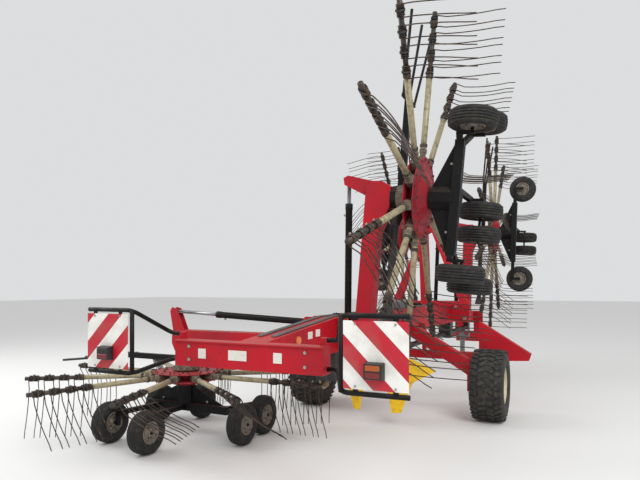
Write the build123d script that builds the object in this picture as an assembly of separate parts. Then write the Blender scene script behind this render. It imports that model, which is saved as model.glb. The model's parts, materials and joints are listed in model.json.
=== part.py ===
from build123d import *
import os
from math import atan2, cos, degrees, hypot, pi, radians, sin

# Four-rotor centre-delivery hay rake, parked: three rotors folded up, the rear left one down.
# Millimetres. X is to the machine's right, Y is forwards, Z is up and 0 on the ground.
# The origin is under the middle of the parking foot.

# Ground plan
FOOT_TO_AXLE = 4400
TRACK = 2400
REAR_HUB_BEHIND = 2100
FRONT_HUB_AHEAD = 2900
BOARD_BEHIND = 3850
HITCH_AHEAD_OF_FOOT = 800
HITCH_AHEAD = FOOT_TO_AXLE + HITCH_AHEAD_OF_FOOT
AXLE_Y = -FOOT_TO_AXLE

# Main beam: a welded box
BEAM_WIDTH = 240
BEAM_TOP = 1340
BEAM_BOTTOM = 1010
BEAM_TAIL_TOP = 1220
BEAM_NOSE_BOTTOM = 880
BEAM_NOSE_TOP = 1120
BEAM_TAIL_BEHIND = 3490
BEAM_NOSE_AHEAD = HITCH_AHEAD - 250
BEAM_TAIL_RISE = 1300
BEAM_NOSE_DROP = 1900

# Rear cross beam with its warning boards
CROSS_WIDTH = 1280
CROSS_DEPTH = 120
CROSS_HEIGHT = 200
CROSS_LIP = 14
BOARD_SIZE = 423
BOARD_SHEET = 3
BOARD_MIDDLE = 1100
BOARD_BOTTOM = 1000
BOARD_TUBE = 17
BOARD_POST_INSET = 22
TUBE_ABOVE = 30
BOARD_CLIP = (-130, 130)
BOARD_CLIP_WIDTH = 36
BOARD_CLIP_THICK = 6
TUBE_UPPER_START = 1262
TUBE_LOWER_START = 1060
LAMP_WIDTH = 130
LAMP_HEIGHT = 110
LAMP_DEPTH = 55
LAMP_ABOVE_BOARD_BOTTOM = 120

# Transport wheels and axle
WHEEL_RADIUS = 435
WHEEL_WIDTH = 400
WHEEL_RIM_RADIUS = 225
WHEEL_RIM_LIP = 30
WHEEL_DISC = 12
WHEEL_DISC_INSET = 70
WHEEL_SIDES = 24
STUB_RADIUS = 38
STUB_CLEARANCE = 0.6
STUB_LENGTH = 370
HUB_RADIUS = 85
AXLE_LEG_DEPTH = 150
AXLE_LEG_WALL = 170
AXLE_PLATE_WIDTH = 40
AXLE_PLATE_INSET = 265
AXLE_PLATE_TOP = 720
AXLE_PLATE_BOTTOM = 345

# Side outriggers ahead of the wheels
OUTRIGGER_AHEAD = 800
OUTRIGGER_HALF = 1610
OUTRIGGER_DEPTH = 110
OUTRIGGER_TOP = 1165
OUTRIGGER_TIP_TOP = 745
OUTRIGGER_TIP_BOTTOM = 655
OUTRIGGER_ROOT = 980
CROSSBAR_BOTTOM = 620
CROSSBAR_TOP = 730
HANGER_IN = 150
HANGER_THICK = 40

# A-shaped mast
MAST_AHEAD = 1760
MAST_HALF = 600
MAST_TOP = 2640
MAST_HEAD_HALF = 60
MAST_FOOT_HALF = 620
MAST_LEG = 130
MAST_LEG_TOP = 70
MAST_DEPTH = 90
MAST_ROLLER_RADIUS = 32
MAST_ROLLER_LENGTH = 330

# Fold pivots and arms
PIVOT_X = 350
PIVOT_Z = 1080
PIN_RADIUS = 25
PIN_CLEARANCE = 0.4
PIN_PROUD = 12
PIN_SIDES = 8
EYE_RADIUS = 70
ARM_WIDTH = 160
ARM_HEIGHT = 150
HEAD_FOOT = 90
HEAD_ROOT = 330
EAR_THICK = 20
EAR_GAP = 3
REAR_REACH = 1400
FRONT_REACH = 1500
REAR_FOLD = 85
FRONT_FOLD = 88

# Fold cylinders
ANCHOR_X = 190
ANCHOR_Z = 1280
TIP_OUT = 150
TIP_UP = 700
BARREL_RADIUS = 33
BARREL_LENGTH = 1150
ROD_RADIUS = 19
ROD_LENGTH = 1000
ROD_GAP = 0.9
ANCHOR_PIN_RADIUS = 16
ROD_EYE_RADIUS = 30
ROD_EYE_WIDTH = 40
TIP_EAR_GAP = 30
TIP_EAR_THICK = 14

# Rotors
HUB_Z = 660
ROTOR_RADIUS = 1660
ARM_COUNT = 10
HUB_PLATE_RADIUS = 360
HUB_PLATE = 8
HUB_PLATE_GAP = 74
HUB_DRUM_RADIUS = 200
HUB_DOME_RADIUS = 250
HUB_DOME_HEIGHT = 55
HUB_SIDES = 16
COLUMN_RADIUS = 52
COLUMN_GAP = 9
SEAT_GAP = 0.3
SLEEVE_RADIUS = 31
SLEEVE_LENGTH = 260
SLEEVE_TAPER = 40
TUBE_RADIUS = 25
TUBE_SIDES = 6
CLAMP_COUNT = 4
CLAMP_FIRST = 1120
CLAMP_PITCH = 150
TINE_RADIUS = 8
TINE_SPREAD = 52
TINE_LENGTH = 615
TINE_TIP_BACK = 40
TINE_LIFT = 60
TINE_LIFT_AT = 250

# Gearbox and undercarriage of a rotor
GEARBOX_RADIUS = 120
GEARBOX_TOP = 250
GUARD_ARM = 900
GUARD_REACH = 1560
GUARD_UP = 175
GUARD_TIP_UP = 110
GUARD_BAR = 30
GUARD_ROD = 13
GUARD_SPAN = 180
GUARD_FLARE = 1.8
CRADLE_Y = -50
CRADLE_WIDTH = 80
CRADLE_TOP = -300
CRADLE_BOTTOM = -380
GUSSET_HALF = 500
GUSSET_THICK = 14
LEG_WIDTH = 46
LEG_TOP = -315
LEG_BOTTOM = -365
SMALL_RADIUS = 215
SMALL_WIDTH = 160
SMALL_SIDES = 12
SMALL_TREAD_SHARE = 0.62
SMALL_WALL_SHARE = 0.8
SMALL_DISH_RADIUS = 105
SMALL_DISH_DEPTH = 45
SMALL_AXLE = 14
SMALL_AXLE_GAP = 0.6
SMALL_SIDE_GAP = 32
LEG_PLATE = 24
TWIN_PITCH = 230
TWIN_SPACER = 30

# Front headstock, parking stand, driveline and guard
HEAD_WIDTH = 560
HEAD_PLATE = 25
HEAD_BOTTOM = 470
HEAD_LUG_WIDTH = 160
HEAD_WINDOW_WIDTH = 180
HEAD_WINDOW_UP = 220
HEAD_CHEEK_OUT = 220
HEAD_CHEEK = 24
LINK_Z = 600
LINK_SPREAD = 825
LINK_PIN_RADIUS = 14
LINK_PIN_LENGTH = 60
LINK_BAR_RADIUS = 36
KING_RADIUS = 40
KING_GAP = 0.4
HEAD_SWIVEL_BEHIND = 190
FOOT_LENGTH = 260
FOOT_WIDTH = 220
FOOT_PLATE = 14
STAND_TUBE = 80
STAND_SLEEVE = 104
STAND_SLEEVE_BOTTOM = 560
STAND_SLEEVE_TOP = 740
CHEEK_THICK = 16
CHEEK_DEPTH = (-60, 60)
SHAFT_Z = 800
SHAFT_RADIUS = 42
DRIVE_BOX = 210
PTO_RADIUS = 17.5
PTO_LENGTH = 90
GUARD_BEHIND = 800
GUARD_HALF = 670
GUARD_SHEET = 8
GUARD_BOW = 260
GUARD_TOP = 880
GUARD_TOP_HALF = 250
GUARD_WING_Z = 640
GUARD_WAIST = (420, 500)
GUARD_LOBE = (200, 300)
GUARD_LOBE_BOTTOM = 150
GUARD_CROTCH = (150, 430)
GUARD_FLAT_HALF = 180

# Each rotor unit: name, side (1 right), hub ahead of the axle, reach of its arm, fold angle as parked,
# cradle ends outwards from the hub, and its wheels.
# A wheel: name, outwards from the hub, ahead of it, wheels side by side, turned across, leg's root outwards.
REAR_RIGHT_WHEELS = (
    ("outer", 660, -120, 1, False, 450),
    ("outer_front", 760, 380, 1, False, 450),
    ("middle", -150, 620, 2, False, 77),
    ("inner", -660, -80, 1, False, -450),
    ("inner_front", -760, 380, 1, False, -450),
)
REAR_LEFT_WHEELS = (
    ("rear_inner", -140, -780, 1, False, -28),
    ("rear_outer", 500, -620, 1, False, 300),
    ("outer", 720, 400, 1, False, 450),
    ("front", 320, 700, 1, False, 208),
    ("inner", -800, -100, 1, False, -550),
    ("inner_front", -760, 370, 1, False, -500),
)
FRONT_WHEELS = (
    ("outer", 740, 70, 1, True, 450),
    ("middle", -150, 620, 2, False, 77),
    ("inner", -780, 70, 1, True, -450),
)
UNITS = (
    ("rear_right", 1, -REAR_HUB_BEHIND, REAR_REACH, REAR_FOLD, (-500, 500), REAR_RIGHT_WHEELS),
    ("rear_left", -1, -REAR_HUB_BEHIND, REAR_REACH, 0, (-600, 500), REAR_LEFT_WHEELS),
    ("front_right", 1, FRONT_HUB_AHEAD, FRONT_REACH, FRONT_FOLD, (-500, 500), FRONT_WHEELS),
    ("front_left", -1, FRONT_HUB_AHEAD, FRONT_REACH, FRONT_FOLD, (-500, 500), FRONT_WHEELS),
)


def block(x, y, z):
    """Box between two limits on each axis."""
    size = (x[1] - x[0], y[1] - y[0], z[1] - z[0])
    return Pos((x[0] + x[1]) / 2, (y[0] + y[1]) / 2, (z[0] + z[1]) / 2) * Box(*size)


def stack(stations, sides, plane=Plane.YZ):
    """Many-sided turned form with a flat facing down: (distance along, radius to its flats) by station."""
    rings = []
    for along, flats in stations:
        corner = flats / cos(pi / sides)
        turns = [2 * pi * (n + 0.5) / sides for n in range(sides)]
        rings.append([plane.from_local_coords((corner * cos(t), corner * sin(t), along)) for t in turns])
    faces = [Face(Wire.make_polygon(rings[0])), Face(Wire.make_polygon(rings[-1]))]
    for near, far in zip(rings, rings[1:]):
        for n in range(sides):
            after = (n + 1) % sides
            faces.append(Face(Wire.make_polygon([near[n], near[after], far[after], far[n]])))
    return Solid(Shell(faces)).fix()


def rod_between(start, end, radius, sides=8):
    """Straight many-sided bar between two points."""
    start, end = Vector(*start), Vector(*end)
    plane = Plane(origin=start, z_dir=end - start)
    return extrude(plane * RegularPolygon(radius, sides), (end - start).length)


def bent_tube(points, radius, sides=8):
    """Many-sided tube with mitred bends through the points."""
    path = Polyline(*points)
    plane = Plane(origin=points[0], z_dir=Vector(*points[1]) - Vector(*points[0]))
    return sweep(plane * RegularPolygon(radius, sides), path=path, transition=Transition.RIGHT)


def plate_xz(points, y, thick):
    """Flat plate with an outline in X and Z, centred on y."""
    face = Plane.XZ.offset(-y - thick / 2) * Polygon(*points, align=None)
    return extrude(face, thick, dir=(0, -1, 0))


def plate_yz(points, x, thick):
    """Flat plate with an outline in Y and Z, centred on x."""
    face = Plane.YZ.offset(x - thick / 2) * Polygon(*points, align=None)
    return extrude(face, thick, dir=(1, 0, 0))


# Main frame


def beam_bottom(ahead):
    """Height of the main beam's underside at a distance ahead of the axle."""
    down = max(0, ahead - BEAM_NOSE_AHEAD + BEAM_NOSE_DROP) / BEAM_NOSE_DROP
    return BEAM_BOTTOM - down * (BEAM_BOTTOM - BEAM_NOSE_BOTTOM)


def main_beam():
    outline = (
        (-BEAM_TAIL_BEHIND, BEAM_BOTTOM),
        (-BEAM_TAIL_BEHIND, BEAM_TAIL_TOP),
        (-BEAM_TAIL_BEHIND + BEAM_TAIL_RISE, BEAM_TOP),
        (BEAM_NOSE_AHEAD - BEAM_NOSE_DROP, BEAM_TOP),
        (BEAM_NOSE_AHEAD, BEAM_NOSE_TOP),
        (BEAM_NOSE_AHEAD, BEAM_NOSE_BOTTOM),
        (BEAM_NOSE_AHEAD - BEAM_NOSE_DROP, BEAM_BOTTOM),
    )
    body = plate_yz([(y + AXLE_Y, z) for y, z in outline], 0, BEAM_WIDTH)
    swivel_y = AXLE_Y + HITCH_AHEAD - HEAD_SWIVEL_BEHIND
    nose = AXLE_Y + BEAM_NOSE_AHEAD
    lug = block((-70, 70), (nose, swivel_y + 70), (BEAM_NOSE_BOTTOM + 60, BEAM_NOSE_TOP - 60))
    hole = KING_RADIUS + KING_GAP
    king = Pos(0, swivel_y, 0) * stack(((0, hole), (BEAM_TOP, hole)), 12, Plane.XY)
    return body + lug - king


def rear_cross_beam():
    front = AXLE_Y - BEAM_TAIL_BEHIND
    low = BEAM_TAIL_TOP - CROSS_HEIGHT
    half = CROSS_WIDTH / 2
    beam = block((-half, half), (front - CROSS_DEPTH, front), (low, BEAM_TAIL_TOP))
    back = front - CROSS_DEPTH
    parts = beam + block((-half, half), (back - CROSS_LIP, back), (BEAM_TAIL_TOP - CROSS_LIP, BEAM_TAIL_TOP))
    for side in (-1, 1):
        across = sorted((side * half, side * (half - 50)))
        parts += block(across, (front - 70, front - 30), (BEAM_TAIL_TOP, TUBE_UPPER_START + BOARD_TUBE))
    return parts


def board_frames():
    """Bent tubes that carry the two warning boards."""
    y_root = AXLE_Y - BEAM_TAIL_BEHIND - 50
    y_board = AXLE_Y - BOARD_BEHIND + BOARD_TUBE
    outer = BOARD_MIDDLE + BOARD_SIZE / 2
    inner = BOARD_MIDDLE - BOARD_SIZE / 2 - BOARD_POST_INSET
    top = BOARD_BOTTOM + BOARD_SIZE + TUBE_ABOVE
    low = BOARD_BOTTOM - TUBE_ABOVE
    half = CROSS_WIDTH / 2
    both = []
    for side in (-1, 1):
        upper = bent_tube(
            [
                (side * half, y_root, TUBE_UPPER_START),
                (side * (half + 80), y_root, TUBE_UPPER_START),
                (side * inner, y_board, top),
                (side * outer, y_board, top),
            ],
            BOARD_TUBE,
            6,
        )
        lower = bent_tube(
            [
                (side * half, y_root, TUBE_LOWER_START),
                (side * (half + 80), y_root, TUBE_LOWER_START),
                (side * inner, y_board, low),
                (side * outer, y_board, low),
            ],
            BOARD_TUBE,
            6,
        )
        post = rod_between((side * inner, y_board, low), (side * inner, y_board, top), BOARD_TUBE, 6)
        frame = upper + lower + post
        y_face = AXLE_Y - BOARD_BEHIND
        for across in BOARD_CLIP:
            x = side * BOARD_MIDDLE + across
            half_clip = BOARD_CLIP_WIDTH / 2
            for z in ((low, BOARD_BOTTOM + TUBE_ABOVE), (top - 2 * TUBE_ABOVE, top)):
                frame += block((x - half_clip, x + half_clip), (y_face, y_face + BOARD_CLIP_THICK), z)
        both.append(frame)
    return Compound(both)


def warning_boards():
    y_face = AXLE_Y - BOARD_BEHIND
    half = BOARD_SIZE / 2
    plates = [
        block(
            (side * BOARD_MIDDLE - half, side * BOARD_MIDDLE + half),
            (y_face - BOARD_SHEET, y_face),
            (BOARD_BOTTOM, BOARD_BOTTOM + BOARD_SIZE),
        )
        for side in (-1, 1)
    ]
    return Compound(plates)


def rear_lamps():
    y_face = AXLE_Y - BOARD_BEHIND - BOARD_SHEET
    z = BOARD_BOTTOM + LAMP_ABOVE_BOARD_BOTTOM
    lamps = []
    for side in (-1, 1):
        section = Plane.XZ * Pos(side * BOARD_MIDDLE, z) * Rectangle(LAMP_WIDTH, LAMP_HEIGHT)
        lamp = extrude(Pos(0, y_face, 0) * section, LAMP_DEPTH, taper=8)
        lamps.append(lamp)
    return Compound(lamps)


def axle_frame():
    """Sloping box legs from the main beam down to the wheel stubs."""
    parts = None
    leg_x = TRACK / 2 - AXLE_PLATE_INSET
    for side in (-1, 1):
        leg = plate_xz(
            [
                (side * BEAM_WIDTH / 2, BEAM_BOTTOM + 40),
                (side * BEAM_WIDTH / 2, BEAM_BOTTOM + 40 + AXLE_LEG_WALL),
                (side * (leg_x + AXLE_PLATE_WIDTH), AXLE_PLATE_TOP),
                (side * (leg_x + AXLE_PLATE_WIDTH), AXLE_PLATE_BOTTOM),
                (side * leg_x, AXLE_PLATE_BOTTOM),
                (side * leg_x, AXLE_PLATE_TOP - AXLE_LEG_WALL),
            ],
            AXLE_Y,
            AXLE_LEG_DEPTH,
        )
        stub_end = side * (leg_x + STUB_LENGTH)
        start = (side * leg_x, AXLE_Y, WHEEL_RADIUS)
        stub = rod_between(start, (stub_end, AXLE_Y, WHEEL_RADIUS), STUB_RADIUS, 12)
        piece = leg + stub
        parts = piece if parts is None else parts + piece
    return parts


def transport_tyre(side):
    half = WHEEL_WIDTH / 2
    carcass = stack(
        (
            (-half, WHEEL_RIM_RADIUS + 60),
            (-half + 25, WHEEL_RADIUS - 40),
            (-half + 60, WHEEL_RADIUS),
            (half - 60, WHEEL_RADIUS),
            (half - 25, WHEEL_RADIUS - 40),
            (half, WHEEL_RIM_RADIUS + 60),
        ),
        WHEEL_SIDES,
    )
    hole = stack(((-WHEEL_WIDTH, WHEEL_RIM_RADIUS), (WHEEL_WIDTH, WHEEL_RIM_RADIUS)), WHEEL_SIDES)
    return Pos(side * TRACK / 2, AXLE_Y, WHEEL_RADIUS) * (carcass - hole)


def transport_rim(side):
    half = WHEEL_WIDTH / 2 - WHEEL_RIM_LIP
    barrel = stack(((-half, WHEEL_RIM_RADIUS), (half, WHEEL_RIM_RADIUS)), WHEEL_SIDES)
    shell_inside = WHEEL_RIM_RADIUS - WHEEL_DISC
    inside = stack(((-WHEEL_WIDTH, shell_inside), (WHEEL_WIDTH, shell_inside)), WHEEL_SIDES)
    disc_x = half - WHEEL_DISC_INSET
    disc = stack(((disc_x - WHEEL_DISC, WHEEL_RIM_RADIUS - 1), (disc_x, WHEEL_RIM_RADIUS - 1)), WHEEL_SIDES)
    hub = stack(((-100, HUB_RADIUS), (disc_x + 55, HUB_RADIUS)), 12)
    bore_radius = STUB_RADIUS + STUB_CLEARANCE
    bore = stack(((-WHEEL_WIDTH, bore_radius), (WHEEL_WIDTH, bore_radius)), 12)
    rim = barrel - inside + disc + hub - bore
    if side < 0:
        rim = mirror(rim, about=Plane.YZ)
    return Pos(side * TRACK / 2, AXLE_Y, WHEEL_RADIUS) * rim


def side_outriggers():
    """Cross bar under the main beam, ending in a downswept wedge on each side."""
    y = AXLE_Y + OUTRIGGER_AHEAD
    depth = (y - OUTRIGGER_DEPTH / 2, y + OUTRIGGER_DEPTH / 2)
    bar = block((-OUTRIGGER_ROOT, OUTRIGGER_ROOT), depth, (CROSSBAR_BOTTOM, CROSSBAR_TOP))
    for side in (-1, 1):
        bar += plate_xz(
            [
                (side * (OUTRIGGER_ROOT - 40), CROSSBAR_BOTTOM),
                (side * (OUTRIGGER_ROOT - 40), OUTRIGGER_TOP),
                (side * OUTRIGGER_HALF, OUTRIGGER_TIP_TOP),
                (side * (OUTRIGGER_HALF - 30), OUTRIGGER_TIP_BOTTOM),
            ],
            y,
            OUTRIGGER_DEPTH,
        )
        hanger = sorted((side * HANGER_IN, side * (HANGER_IN + HANGER_THICK)))
        bar += block(hanger, depth, (CROSSBAR_TOP, BEAM_BOTTOM + 60))
        foot = sorted((side * BEAM_WIDTH / 2, side * (HANGER_IN + HANGER_THICK)))
        bar += block(foot, depth, (BEAM_BOTTOM + 60, BEAM_BOTTOM + 100))
    return bar


def mast():
    """A-shaped mast that the folded front arms lean beside."""
    y = AXLE_Y + MAST_AHEAD
    thick = (y - MAST_DEPTH / 2, y + MAST_DEPTH / 2)
    frame = block((-MAST_FOOT_HALF, MAST_FOOT_HALF), thick, (BEAM_TOP, BEAM_TOP + 70))
    for side in (-1, 1):
        frame += plate_xz(
            [
                (side * (MAST_HALF - MAST_LEG), BEAM_TOP + 70),
                (side * MAST_HALF, BEAM_TOP + 70),
                (side * MAST_HEAD_HALF, MAST_TOP),
                (side * (MAST_HEAD_HALF - MAST_LEG_TOP), MAST_TOP),
            ],
            y,
            MAST_DEPTH,
        )
    head = block((-MAST_HEAD_HALF, MAST_HEAD_HALF), thick, (MAST_TOP - 90, MAST_TOP))
    roller_z = MAST_TOP + MAST_ROLLER_RADIUS - 4
    half = MAST_ROLLER_LENGTH / 2
    roller = rod_between((-half, y, roller_z), (half, y, roller_z), MAST_ROLLER_RADIUS, 12)
    return frame + head + roller


def arm_brackets(ahead):
    """Two pairs of ears on the main beam with their pins, for the left and right arm of one end."""
    y = AXLE_Y + ahead
    half = ARM_WIDTH / 2 + EAR_GAP
    parts = None
    for side in (-1, 1):
        for end in (-1, 1):
            ear = plate_xz(
                [
                    (side * BEAM_WIDTH / 2, PIVOT_Z - 40),
                    (side * BEAM_WIDTH / 2, ANCHOR_Z + 60),
                    (side * (ANCHOR_X + 30), ANCHOR_Z + 60),
                    (side * (PIVOT_X + 75), PIVOT_Z + 20),
                    (side * (PIVOT_X + 60), PIVOT_Z - 60),
                    (side * (PIVOT_X - 60), PIVOT_Z - 60),
                ],
                y + end * (half + EAR_THICK / 2),
                EAR_THICK,
            )
            parts = ear if parts is None else parts + ear
        reach = half + EAR_THICK + PIN_PROUD
        for x, z, radius in ((PIVOT_X, PIVOT_Z, PIN_RADIUS), (ANCHOR_X, ANCHOR_Z, ANCHOR_PIN_RADIUS)):
            parts += rod_between((side * x, y - reach, z), (side * x, y + reach, z), radius, PIN_SIDES)
    return parts


# Rotor units: each is modelled as a right-hand one with its hub at the origin and its arm lowered


class Unit:
    """Where one rotor unit stands, and how its arm is folded as parked."""

    def __init__(self, row):
        self.name, self.side, ahead, self.reach, self.fold, self.cradle, self.wheels = row
        self.y = AXLE_Y + ahead

    def place(self, shape, from_pivot=False):
        """Shape moved from its own frame to the machine's, turned up by the fold angle."""
        if self.side < 0:
            shape = mirror(shape, about=Plane.YZ)
        at_pivot = Pos(self.side * PIVOT_X, self.y, PIVOT_Z) * Rot(0, -self.side * self.fold, 0)
        if from_pivot:
            return at_pivot * shape
        return at_pivot * Pos(self.side * self.reach, 0, HUB_Z - PIVOT_Z) * shape

    def cylinder_line(self, fold):
        """Length and slope in degrees of the fold cylinder, in the plane of a right-hand arm."""
        turn = radians(fold)
        out = self.reach + TIP_OUT
        up = TIP_UP + HUB_Z - PIVOT_Z
        x = PIVOT_X + out * cos(turn) - up * sin(turn) - ANCHOR_X
        z = PIVOT_Z + out * sin(turn) + up * cos(turn) - ANCHOR_Z
        return hypot(x, z), degrees(atan2(z, x))

    def place_cylinder(self, shape):
        """Shape laid along the fold cylinder, modelled from its anchor outwards along X."""
        slope = self.cylinder_line(self.fold)[1]
        if self.side < 0:
            shape = mirror(shape, about=Plane.YZ)
        return Pos(self.side * ANCHOR_X, self.y, ANCHOR_Z) * Rot(0, -self.side * slope, 0) * shape


def arm(unit):
    """Box arm with the eye at its pivot, the head over the hub and the cylinder's ears."""
    rise = PIVOT_Z - HUB_Z
    low, high = rise - ARM_HEIGHT / 2, rise + ARM_HEIGHT / 2
    outline = [(-unit.reach, low), (-unit.reach, high), (80, high), (140, high - 60), (140, low)]
    beam = plate_xz(outline, 0, ARM_WIDTH)
    half = ARM_WIDTH / 2
    eye = Pos(-unit.reach, 0, rise) * stack(((-half, EYE_RADIUS), (half, EYE_RADIUS)), 12, Plane.XZ)
    hole = PIN_RADIUS + PIN_CLEARANCE
    bore = Pos(-unit.reach, 0, rise) * stack(((-ARM_WIDTH, hole), (ARM_WIDTH, hole)), 12, Plane.XZ)
    head = [(-HEAD_FOOT, GEARBOX_TOP), (-HEAD_ROOT, low), (HEAD_FOOT + 50, low), (HEAD_FOOT, GEARBOX_TOP)]
    neck = plate_xz(head, 0, ARM_WIDTH)
    solid = beam + eye + neck
    for end in (-1, 1):
        solid += plate_xz(
            [
                (-30, rise),
                (140, rise),
                (TIP_OUT + 45, TIP_UP),
                (TIP_OUT + 20, TIP_UP + 45),
                (TIP_OUT - 45, TIP_UP + 30),
            ],
            end * (TIP_EAR_GAP + TIP_EAR_THICK / 2),
            TIP_EAR_THICK,
        )
    return solid - bore


def rotor_hub(unit):
    """Two plates with a drum between them and a domed cover below, round the fixed column."""
    half = HUB_PLATE_GAP / 2
    ring = Plane.XY
    hub = stack(((half, HUB_PLATE_RADIUS), (half + HUB_PLATE, HUB_PLATE_RADIUS)), HUB_SIDES, ring)
    hub += stack(((-half - HUB_PLATE, HUB_PLATE_RADIUS), (-half, HUB_PLATE_RADIUS)), HUB_SIDES, ring)
    hub += stack(((-half, HUB_DRUM_RADIUS), (half, HUB_DRUM_RADIUS)), ARM_COUNT, ring)
    hub += stack(
        ((-half - HUB_PLATE - HUB_DOME_HEIGHT, HUB_DOME_RADIUS * 0.55), (-half - HUB_PLATE, HUB_DOME_RADIUS)),
        ARM_COUNT,
        ring,
    )
    hole_radius = COLUMN_RADIUS + COLUMN_GAP
    hole = stack(((-HUB_PLATE_RADIUS, hole_radius), (HUB_PLATE_RADIUS, hole_radius)), 8, ring)
    return hub - hole


def tine_arm():
    """One tine arm along +X: bearing housing, then a tube with pairs of tines hanging from its outer part."""
    sleeve_end = HUB_DRUM_RADIUS + SLEEVE_LENGTH
    stations = (
        (HUB_DRUM_RADIUS, SLEEVE_RADIUS),
        (sleeve_end - SLEEVE_TAPER, SLEEVE_RADIUS),
        (sleeve_end, TUBE_RADIUS),
        (ROTOR_RADIUS, TUBE_RADIUS),
    )
    made = Rot(180 / TUBE_SIDES, 0, 0) * stack(stations, TUBE_SIDES)
    for n in range(CLAMP_COUNT):
        for side in (-1, 1):
            x = CLAMP_FIRST + n * CLAMP_PITCH + side * TINE_SPREAD / 2
            made += rod_between((x, 0, 0), (x, -TINE_TIP_BACK, -TINE_LENGTH), TINE_RADIUS, 3)
    return made


def rotor_tines(unit):
    """All tine arms, each rolled by the cam so that its tines lift on the far side of the swath."""
    made = tine_arm()
    arms = []
    for n in range(ARM_COUNT):
        heading = 360 * n / ARM_COUNT
        lift = TINE_LIFT * max(0, cos(radians(heading - TINE_LIFT_AT)))
        arms.append(Rot(0, 0, heading) * Rot(-lift, 0, 0) * made)
    return Compound(arms)


def small_wheel(row):
    """Undercarriage wheel or coaxial pair, dished on its open sides, its axle along X before any turn."""
    name, out, ahead, count, across, root = row
    half = SMALL_WIDTH / 2
    bulge = half * SMALL_TREAD_SHARE
    section = (
        (-half, SMALL_RADIUS * SMALL_WALL_SHARE),
        (-bulge, SMALL_RADIUS),
        (bulge, SMALL_RADIUS),
        (half, SMALL_RADIUS * SMALL_WALL_SHARE),
    )
    open_sides = (-1, 1) if count > 1 else (1 if out > 0 or across else -1,)
    reach = (count - 1) * TWIN_PITCH / 2 + half
    wheel = stack(section, SMALL_SIDES)
    if count > 1:
        wheel = Pos(-TWIN_PITCH / 2, 0, 0) * wheel + Pos(TWIN_PITCH / 2, 0, 0) * wheel
        wheel += stack(((-TWIN_PITCH / 2, TWIN_SPACER), (TWIN_PITCH / 2, TWIN_SPACER)), 8)
    for end in open_sides:
        ends = sorted((end * (reach - SMALL_DISH_DEPTH), end * (reach + 10)))
        wheel -= stack([(x, SMALL_DISH_RADIUS) for x in ends], SMALL_SIDES)
    bore = SMALL_AXLE + SMALL_AXLE_GAP
    wheel -= stack(((-reach * 2, bore), (reach * 2, bore)), 6)
    if across:
        wheel = Rot(0, 0, 90) * wheel
    return Pos(out, ahead, SMALL_RADIUS - HUB_Z) * wheel


def wheel_leg(row):
    """Leg from the cradle to one wheel, with the axle that the wheel turns on."""
    name, out, ahead, count, across, root = row
    inwards = -1 if out > 0 else 1
    reach = (count - 1) * TWIN_PITCH / 2 + SMALL_WIDTH / 2
    z_axle = SMALL_RADIUS - HUB_Z
    half = LEG_WIDTH / 2
    if across:
        hub_x, hub_y = out, ahead - (reach + SMALL_SIDE_GAP)
        end_axle = (out, ahead + reach, z_axle)
    else:
        hub_x, hub_y = out + inwards * (reach + SMALL_SIDE_GAP), ahead
        end_axle = (out - inwards * reach, ahead, z_axle)
    run = Vector(hub_x - root, hub_y - CRADLE_Y, 0)
    if run.length > half:
        plane = Plane(origin=(root, CRADLE_Y, (LEG_TOP + LEG_BOTTOM) / 2), z_dir=run, x_dir=(0, 0, 1))
        leg = extrude(plane * Rectangle(LEG_TOP - LEG_BOTTOM, LEG_WIDTH), run.length)
    else:
        leg = block((root - half, root + half), (CRADLE_Y - half, CRADLE_Y + half), (LEG_BOTTOM, LEG_TOP))
    thin = LEG_PLATE / 2
    wide_x, wide_y = (half, thin) if across else (thin, half)
    drop = block((hub_x - wide_x, hub_x + wide_x), (hub_y - wide_y, hub_y + wide_y), (z_axle - half, LEG_TOP))
    axle = rod_between((hub_x, hub_y, z_axle), end_axle, SMALL_AXLE)
    return leg + drop + axle


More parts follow.
